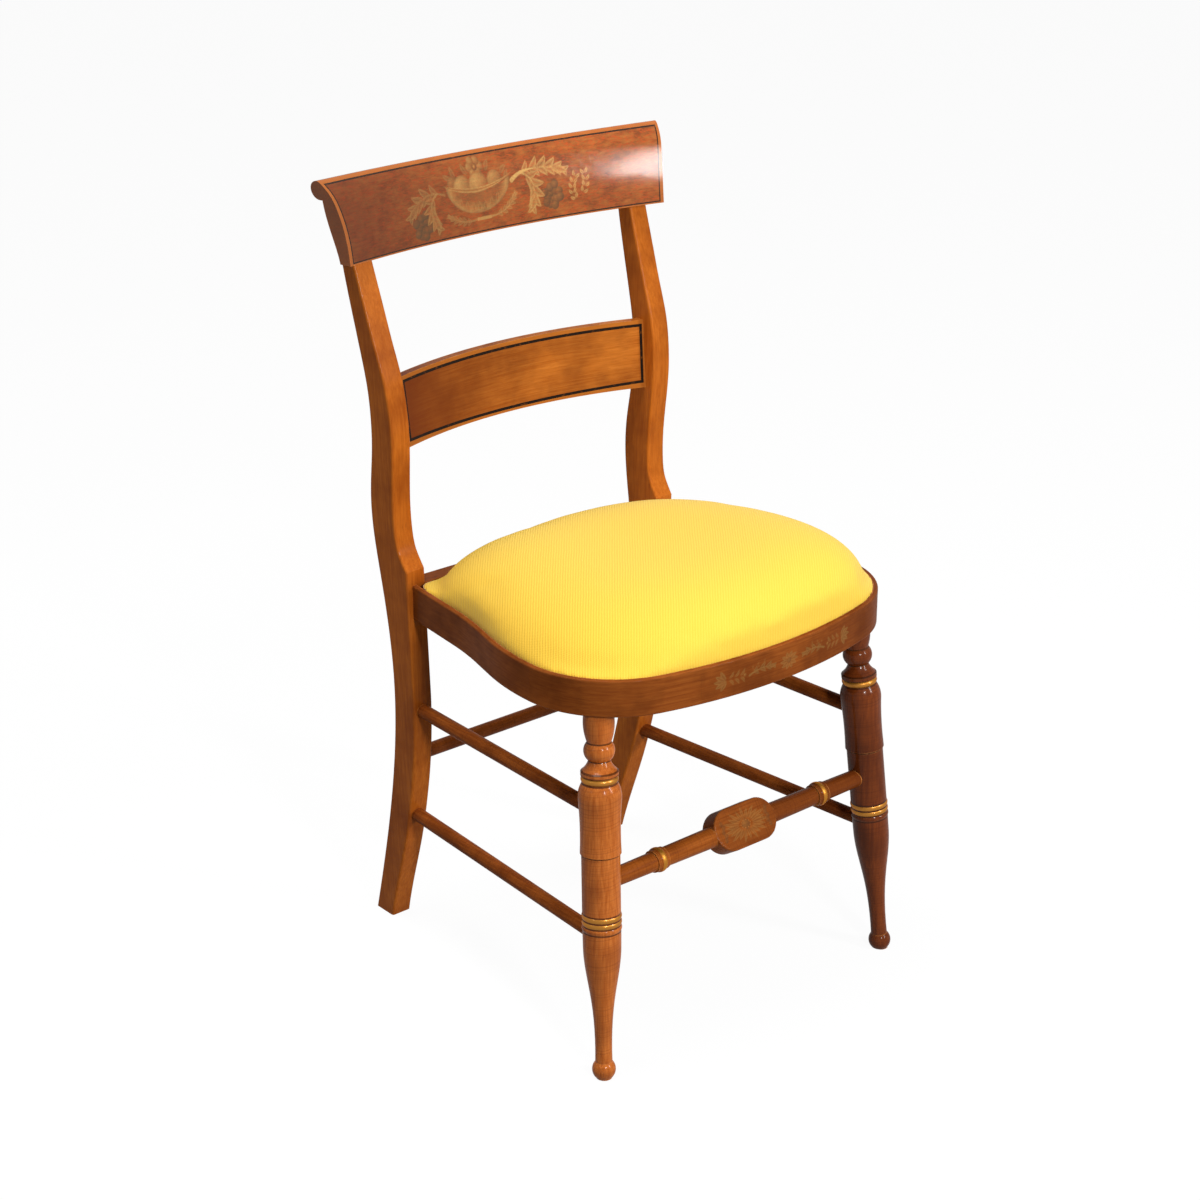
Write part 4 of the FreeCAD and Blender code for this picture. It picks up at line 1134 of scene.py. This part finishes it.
@dataclass
class Timber:
    """The posts, rails, legs and plain stretchers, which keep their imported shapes."""

    leg_foot: Place = (205.3, -206.7, 0.0)
    leg_top: Place = (181.1, -170.0, 396.0)
    leg_rings: tuple[Point, ...] = ((172.5, 4.6), (178.9, 4.6), (325.1, 6.0))
    leg_grooves: tuple[float, ...] = (162.8, 169.4, 175.7, 182.2, 245.6, 321.2, 329.2, 333.6, 344.6, 363.6)

    def leg_axis(self) -> Place:
        """Return the unit way up the leg at plus X."""
        way = (Vector(self.leg_top) - Vector(self.leg_foot)).normalized()
        return (way.x, way.y, way.z)

    def dress(self) -> None:
        """Give every wooden piece its varnish."""
        axis = self.leg_axis()
        post = StainedMaple("Stained and varnished maple, posts", Grain.UPRIGHT)
        # Painted shade: the middle rail is laid darker towards its left end, whose bowed face turns away from the
        # light
        rail = LinedRail("Stained and varnished maple, middle rail", Grain.SIDEWAYS, "#BE7029", "#A4581A", "#5E270B",
                         cloud_size=60.0, line="#1E1611", margin="#B06826", painted_shade_share=0.9, painted_shade_reach=(60.0, -150.0),
                         line_width=3.2, bow_radius=482.0, bow_centre=-295.78, low=579.5, line_low=5.0,
                         line_low_sag=2.6, line_high=68.7, end_middle=164.6, end_shift=5.8)
        leg = GiltTurning("Stained maple turning with gilt rings", Grain.UPRIGHT, "#C87230", "#A9551A", "#702F0E",
                          ring_axis=axis, origin=self.leg_foot, axis=axis, rings=self.leg_rings,
                          grooves=self.leg_grooves, varnish=0.2)
        # Painted shade: the right front leg is a darker copy of the left leg's finish, for the seat's shadow that
        # falls on it
        shaded_far_leg = replace(leg, name="Dark stained maple turning with gilt rings", light="#7E3D16", middle="#652C10",
                          dark="#401908")
        side = StainedMaple("Stained maple rod, side stretchers", Grain.BACKWARDS, "#A85A22", "#7F3C12", "#521F08",
                            varnish=0.04, gloss=0.01, ring_axis=(0.0, 1.0, 0.0))
        rear = StainedMaple("Stained maple rod, rear stretcher", Grain.ACROSS, "#985020", "#793B14", "#4E200A",
                            ring_axis=(1.0, 0.0, 0.0))
        block = StainedMaple("Sawn poplar, corner blocks", Grain.SIDEWAYS, "#C9AE7E", "#B79865", "#947648", "#CDB588",
                             roughness=0.7)
        board = StainedMaple("Birch plywood, seat board", Grain.SIDEWAYS, "#D3B483", "#C3A06B", "#A07E4E", "#D7BC90",
                             roughness=0.72)
        dowel = StainedMaple("Fluted beech dowel", Grain.BACKWARDS, "#D2A878", "#C0925F", "#9B7042", "#D2A878",
                             roughness=0.65)
        sides = ("left", "right")
        finishes = {
            post: [f"{hand}_rear_post" for hand in sides],
            rail: ["mid_rail"],
            leg: ["left_front_leg"],
            shaded_far_leg: ["right_front_leg"],
            side: [f"{hand}_{level}_stretcher" for hand in sides for level in ("upper", "lower")],
            rear: ["rear_stretcher"],
            block: [f"{hand}_{end}_corner_block" for hand in sides for end in ("front", "rear")],
            board: ["seat_board"],
            dowel: ["band_dowels"],
        }
        for finish, nodes in finishes.items():
            set_finish(finish.build(), *nodes)
            log.info("%s: %d pieces", finish.name, len(nodes))


@dataclass
class Fasteners:
    """The screws and tacks."""

    screws: Steel = Steel("Zinc plated steel", "#B9B6AC", "#7D7A72", 0.38)
    tacks: Steel = Steel("Blued steel", "#4A4D55", "#26272C", 0.45)

    def dress(self) -> None:
        """Give the screws and tacks their metal."""
        set_finish(self.screws.build(), "seat_screws", "crest_screws")
        set_finish(self.tacks.build(), "upholstery_tacks")
        log.info("fasteners: plated screws and blued tacks")


@dataclass
class SlipSeat:
    """The loose padded seat: its yellow cushion, and the black cloth tacked underneath."""

    voxel: float = 5.0
    pressure: float = 4.0
    frames: int = 20
    cap: float = 3.0
    weld_gap: float = 0.01
    flat_angle: float = 5.0
    first_rounds: int = 12
    last_rounds: int = 8
    still_height: float = 436.0
    free_height: float = 448.0
    half_width: float = 200.0
    rim_height: float = 437.0
    rim_band: float = 6.0
    outline_steps: int = 180
    dome_middle: float = -50.0
    bridge_waves: float = 3.0
    outline_waves: float = 5.0
    dome_rise: float = 50.5
    dome_right: float = 2.6
    dome_front: float = 7.2
    dome_slant: float = 5.5
    dome_flatness: float = 4.0
    dome_fullness: float = 0.6
    dome_ease: float = 0.3
    ease_way: float = -135.0
    cloth_sag: float = 3.0

    def cushion(self) -> None:
        """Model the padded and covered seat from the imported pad, cover and board."""
        copies = [copied(node, "slip_seat") for node in ("seat_pad", "seat_cover", "seat_board")]
        only(copies[0])
        for copy in copies:
            copy.select_set(True)
        bpy.ops.object.join()
        pad = bpy.context.object
        pad.name = pad.data.name = "slip_seat_cushion"
        bpy.ops.object.transform_apply(location=True, rotation=True, scale=True)
        self.weld(pad)
        self.crown(pad)
        self.ease(pad, self.first_rounds)
        self.swell(pad)
        self.ease(pad, self.last_rounds)
        modify(pad, "SUBSURF", levels=1, render_levels=1)
        bpy.ops.object.shade_smooth()
        complete(pad, TwillCloth().build(), "seat_fabric")
        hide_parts("seat_pad", "seat_cover")
        log.info("slip seat: cushion of %d faces", len(pad.data.polygons))

    def weld(self, piece: bpy.types.Object) -> None:
        """Join the loose triangles of a copied piece.

        Args:
            piece: The copy.
        """
        only(piece)
        bpy.ops.object.mode_set(mode="EDIT")
        bpy.ops.mesh.select_all(action="SELECT")
        bpy.ops.mesh.remove_doubles(threshold=self.weld_gap / MM)
        bpy.ops.object.mode_set(mode="OBJECT")

    def freedom(self, places: np.ndarray) -> np.ndarray:
        """Return how free each vertex is: 0 for the skirt in the band's rebate, 1 for the top."""
        rise = STANCE.level(places)[:, 2] - self.still_height
        return np.clip(rise / (self.free_height - self.still_height), 0.0, 1.0)

    def ease(self, pad: bpy.types.Object, rounds: int) -> None:
        """Smooth the cushion above its rim, with the skirt below it left as it is.

        Args:
            pad: The cushion.
            rounds: How many rounds of smoothing.
        """
        group = pad.vertex_groups.new(name="free")
        for index, weight in enumerate(self.freedom(corners(pad.data))):
            if weight > 0:
                group.add([index], float(weight), "REPLACE")
        modify(pad, "SMOOTH", factor=0.5, iterations=rounds, vertex_group=group.name)
        pad.vertex_groups.clear()

    def swell(self, pad: bpy.types.Object) -> None:
        """Blow the cushion up as cloth, and keep the move small.

        Args:
            pad: The eased cushion.
        """
        before = corners(pad.data)
        cloth = pad.modifiers.new("Swell", "CLOTH")
        cloth.settings.use_pressure = True
        cloth.settings.uniform_pressure_force = self.pressure
        cloth.settings.effector_weights.gravity = 0.0
        cloth.settings.quality = 5
        cloth.point_cache.frame_start = 1
        cloth.point_cache.frame_end = self.frames
        scene = bpy.context.scene
        for number in range(1, self.frames + 1):
            scene.frame_set(number)
        bpy.ops.object.modifier_apply(modifier=cloth.name)
        scene.frame_set(1)
        set_corners(pad.data, self.held_back(before, corners(pad.data)))

    def held_back(self, before: np.ndarray, after: np.ndarray) -> np.ndarray:
        """Cap how far the cloth moved, and hold what sits in the band's rebate.

        Args:
            before: The cushion's vertices before it swelled, in metres.
            after: The same vertices after it.

        Returns:
            Where the vertices stay, in metres.
        """
        move = after - before
        far = np.maximum(np.linalg.norm(move, axis=1), 1e-9)
        limit = self.cap / MM
        keep = limit * np.tanh(far / limit) / far * self.freedom(before)
        return before + move * keep[:, None]

    def outline(self, turns: np.ndarray, reaches: np.ndarray, heights: np.ndarray) -> np.ndarray:
        """Find how far the filling reaches from its middle in each vertex's direction.

        It is the rim's distance with its hollows bridged, so that the hollow sides stand full, and then smoothed
        once more, so that the corners are soft.

        Args:
            turns: Each vertex's angle round the middle, in radians.
            reaches: Its distance from the middle, in mm.
            heights: Its height, in mm.

        Returns:
            The filling's reach for each vertex, in mm.
        """
        steps = self.outline_steps
        near_rim = np.abs(heights - self.rim_height) < self.rim_band
        step = np.floor((turns + math.pi) / math.tau * steps).astype(int) % steps
        edge = np.zeros(steps)
        np.maximum.at(edge, step[near_rim], reaches[near_rim])
        edge = np.maximum(edge, self.smoothed(edge, self.bridge_waves))
        edge = self.smoothed(edge, self.outline_waves)
        middles = (np.arange(steps) + 0.5) / steps * math.tau - math.pi
        return np.interp(turns, middles, edge, period=math.tau)

    def smoothed(self, edge: np.ndarray, waves: float) -> np.ndarray:
        """Fade out the short waves of a distance that runs once round the middle.

        Args:
            edge: The distance in even steps of angle.
            waves: The number of waves round the middle at which the fading is strong.

        Returns:
            The smooth distance in the same steps.
        """
        parts = np.fft.rfft(edge)
        fade = np.exp(-((np.arange(len(parts)) / waves) ** 2))
        return np.fft.irfft(parts * fade, len(edge))

    def crown(self, pad: bpy.types.Object) -> None:
        """Make one even skin of the joined copies, and shape its top as one smooth dome.

        The dome is lower at the back and the left, and its slope is easier at the front left.

        Args:
            pad: The joined copies.
        """
        pad.data.remesh_voxel_size = self.voxel / MM
        pad.data.use_remesh_preserve_volume = False
        bpy.ops.object.voxel_remesh()
        places = STANCE.level(corners(pad.data))
        ahead = places[:, :2] - np.array((0.0, self.dome_middle))
        turns = np.arctan2(ahead[:, 1], ahead[:, 0])
        reaches = np.hypot(ahead[:, 0], ahead[:, 1])
        share = np.clip(reaches / self.outline(turns, reaches, places[:, 2]), 0.0, 1.0)
        across, back = places[:, 0] / self.half_width, places[:, 1] / self.half_width
        rise = self.dome_rise + self.dome_right * across - self.dome_front * back
        rise -= self.dome_slant * across * back
        towards = np.clip(np.cos(turns - math.radians(self.ease_way)), 0.0, 1.0)
        fullness = self.dome_fullness + self.dome_ease * towards
        dome = self.rim_height + rise * (1 - share ** self.dome_flatness) ** fullness
        places[:, 2] = np.where(places[:, 2] > self.rim_height, dome, places[:, 2])
        set_corners(pad.data, STANCE.place(places))
        bpy.ops.object.voxel_remesh()

    def dust_cloth(self) -> None:
        """Model the cloth under the seat, stretched and sagging slightly between its tacks."""
        cloth = copied("dust_cover", "dust_cloth")
        only(cloth)
        bpy.ops.object.transform_apply(location=True, rotation=True, scale=True)
        self.weld(cloth)
        bpy.ops.object.mode_set(mode="EDIT")
        bpy.ops.mesh.select_all(action="SELECT")
        bpy.ops.mesh.dissolve_limited(angle_limit=math.radians(self.flat_angle))
        bpy.ops.mesh.quads_convert_to_tris()
        bpy.ops.object.mode_set(mode="OBJECT")
        modify(cloth, "SUBSURF", subdivision_type="SIMPLE", levels=3, render_levels=3)
        places = STANCE.level(corners(cloth.data))
        middle = (places.max(axis=0) + places.min(axis=0)) / 2
        half = (places.max(axis=0) - places.min(axis=0)) / 2
        out = np.hypot((places[:, 0] - middle[0]) / half[0], (places[:, 1] - middle[1]) / half[1])
        places[:, 2] -= self.cloth_sag * np.clip(1 - out ** 2, 0.0, 1.0)
        set_corners(cloth.data, STANCE.place(places))
        complete(cloth, Cambric().build(), "dust_fabric")
        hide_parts("dust_cover")

    def dress(self) -> None:
        """Build both cloth pieces."""
        self.cushion()
        self.dust_cloth()


@dataclass
class Studio:
    """The white sweep, the soft lamps and the camera."""

    camera_place: Place = (-1693.4, -1921.8, 1449.1)
    yaw_angle: float = 40.84
    pitch_angle: float = 22.07
    focal_pixels: float = 2576.4
    picture_pixels: float = 1200.0
    sensor_width: float = 36.0
    ambient: float = 0.1
    aim_height: float = 0.5
    floor_size: float = 30.0
    floor_glow: float = 1.22
    floor_share: float = 0.78

    def camera(self) -> None:
        """Set the camera where the photograph was taken from."""
        yaw, pitch = math.radians(self.yaw_angle), math.radians(self.pitch_angle)
        forward = Vector((math.sin(yaw) * math.cos(pitch), math.cos(yaw) * math.cos(pitch), -math.sin(pitch)))
        right = Vector((math.cos(yaw), -math.sin(yaw), 0.0))
        turn = STANCE.tilt()
        forward, right = turn @ forward, turn @ right
        up = right.cross(forward)
        lens = bpy.data.cameras.new("camera")
        lens.sensor_width = self.sensor_width
        lens.lens = self.focal_pixels / self.picture_pixels * self.sensor_width
        camera = bpy.data.objects.new("camera", lens)
        bpy.context.collection.objects.link(camera)
        place = STANCE.place(np.array((self.camera_place,)))[0]
        axes = Matrix((right, up, -forward)).transposed().to_4x4()
        camera.matrix_world = Matrix.Translation(Vector(place)) @ axes
        bpy.context.scene.camera = camera

    def lamps(self) -> None:
        """Hang the lamps: each has a name, a way from the chair, a distance and a size in metres, and its watts."""
        target = Vector((0.0, 0.0, self.aim_height))
        for name, way, distance, size, power in (
                ("front soft box", (-0.27, -0.96, 0.44), 3.2, (0.34, 0.34), 50.0),
                ("right soft box", (0.42, -0.89, 0.42), 3.2, (0.4, 1.1), 62.0),
                ("left lamp", (-1.0, -0.02, 0.42), 2.8, (0.14, 0.16), 2.0),
                ("overhead soft box", (-0.22, 0.12, 1.0), 2.6, (1.6, 1.2), 64.0)):
            light = bpy.data.lights.new(name, "AREA")
            light.shape = "RECTANGLE"
            light.size, light.size_y = size
            light.energy = power
            lamp = bpy.data.objects.new(name, light)
            bpy.context.collection.objects.link(lamp)
            lamp.location = target + Vector(way).normalized() * distance
            lamp.rotation_euler = (target - lamp.location).to_track_quat("-Z", "Y").to_euler()

    def seen(self, recipe: Recipe) -> Socket:
        """Find the rays that show the room: the camera's, and those that metal and glass pass on.

        Args:
            recipe: The material or world being written.

        Returns:
            A value that is 1 for those rays.
        """
        rays = [recipe.add("LightPath", {}, f"Is {ray} Ray") for ray in ("Camera", "Glossy", "Transmission")]
        seen = recipe.add("Math", {0: rays[0], 1: rays[1]}, operation="MAXIMUM")
        return recipe.add("Math", {0: seen, 1: rays[2]}, operation="MAXIMUM")

    def world(self) -> None:
        """Give soft light from all round, and plain white where the camera sees past the floor."""
        room = Recipe(bpy.data.worlds.new("white room"))
        strength = room.add("MapRange", {"Value": self.seen(room), "To Min": self.ambient})
        light = room.add("Background", {"Color": WHITE, "Strength": strength})
        room.add("OutputWorld", {"Surface": light})
        bpy.context.scene.world = room.owner

    def floor(self) -> None:
        """Lay the pale floor, which looks white to the camera and keeps the chair's soft shadow."""
        bpy.ops.object.select_all(action="DESELECT")
        bpy.ops.mesh.primitive_plane_add(size=self.floor_size, location=(0.0, 0.0, 0.0))
        floor = bpy.context.object
        floor.name = "floor"
        recipe = Recipe(bpy.data.materials.new("Matt white paper sweep"))
        add = recipe.add
        grit = add("TexNoise", {"Scale": 3.0, "Detail": 2.0})
        tone = add("Mix", {0: grit, 6: linear("#868686"), 7: linear("#8C8C8C")}, 2, data_type="RGBA")
        paper = add("BsdfDiffuse", {"Color": tone})
        glow = add("Emission", {"Color": WHITE, "Strength": self.floor_glow})
        share = add("Math", {0: self.seen(recipe), 1: self.floor_share}, operation="MULTIPLY")
        add("OutputMaterial", {"Surface": add("MixShader", {0: share, 1: paper, 2: glow})})
        floor.data.materials.append(recipe.owner)

    def build(self) -> None:
        """Set up the whole studio."""
        self.camera()
        self.lamps()
        self.world()
        self.floor()
        bpy.context.scene.view_settings.view_transform = "Standard"
        log.info("studio: camera, four lamps and a white sweep")


def main() -> None:
    """Build the chair's finishes and soft pieces in order, then the studio."""
    logging.basicConfig(level=logging.INFO, format="%(name)s: %(message)s")
    Timber().dress()
    Crest().dress()
    SeatBand().dress()
    FrontStretcher().dress()
    Fasteners().dress()
    SlipSeat().dress()
    Studio().build()


if __name__ == "__main__":
    main()
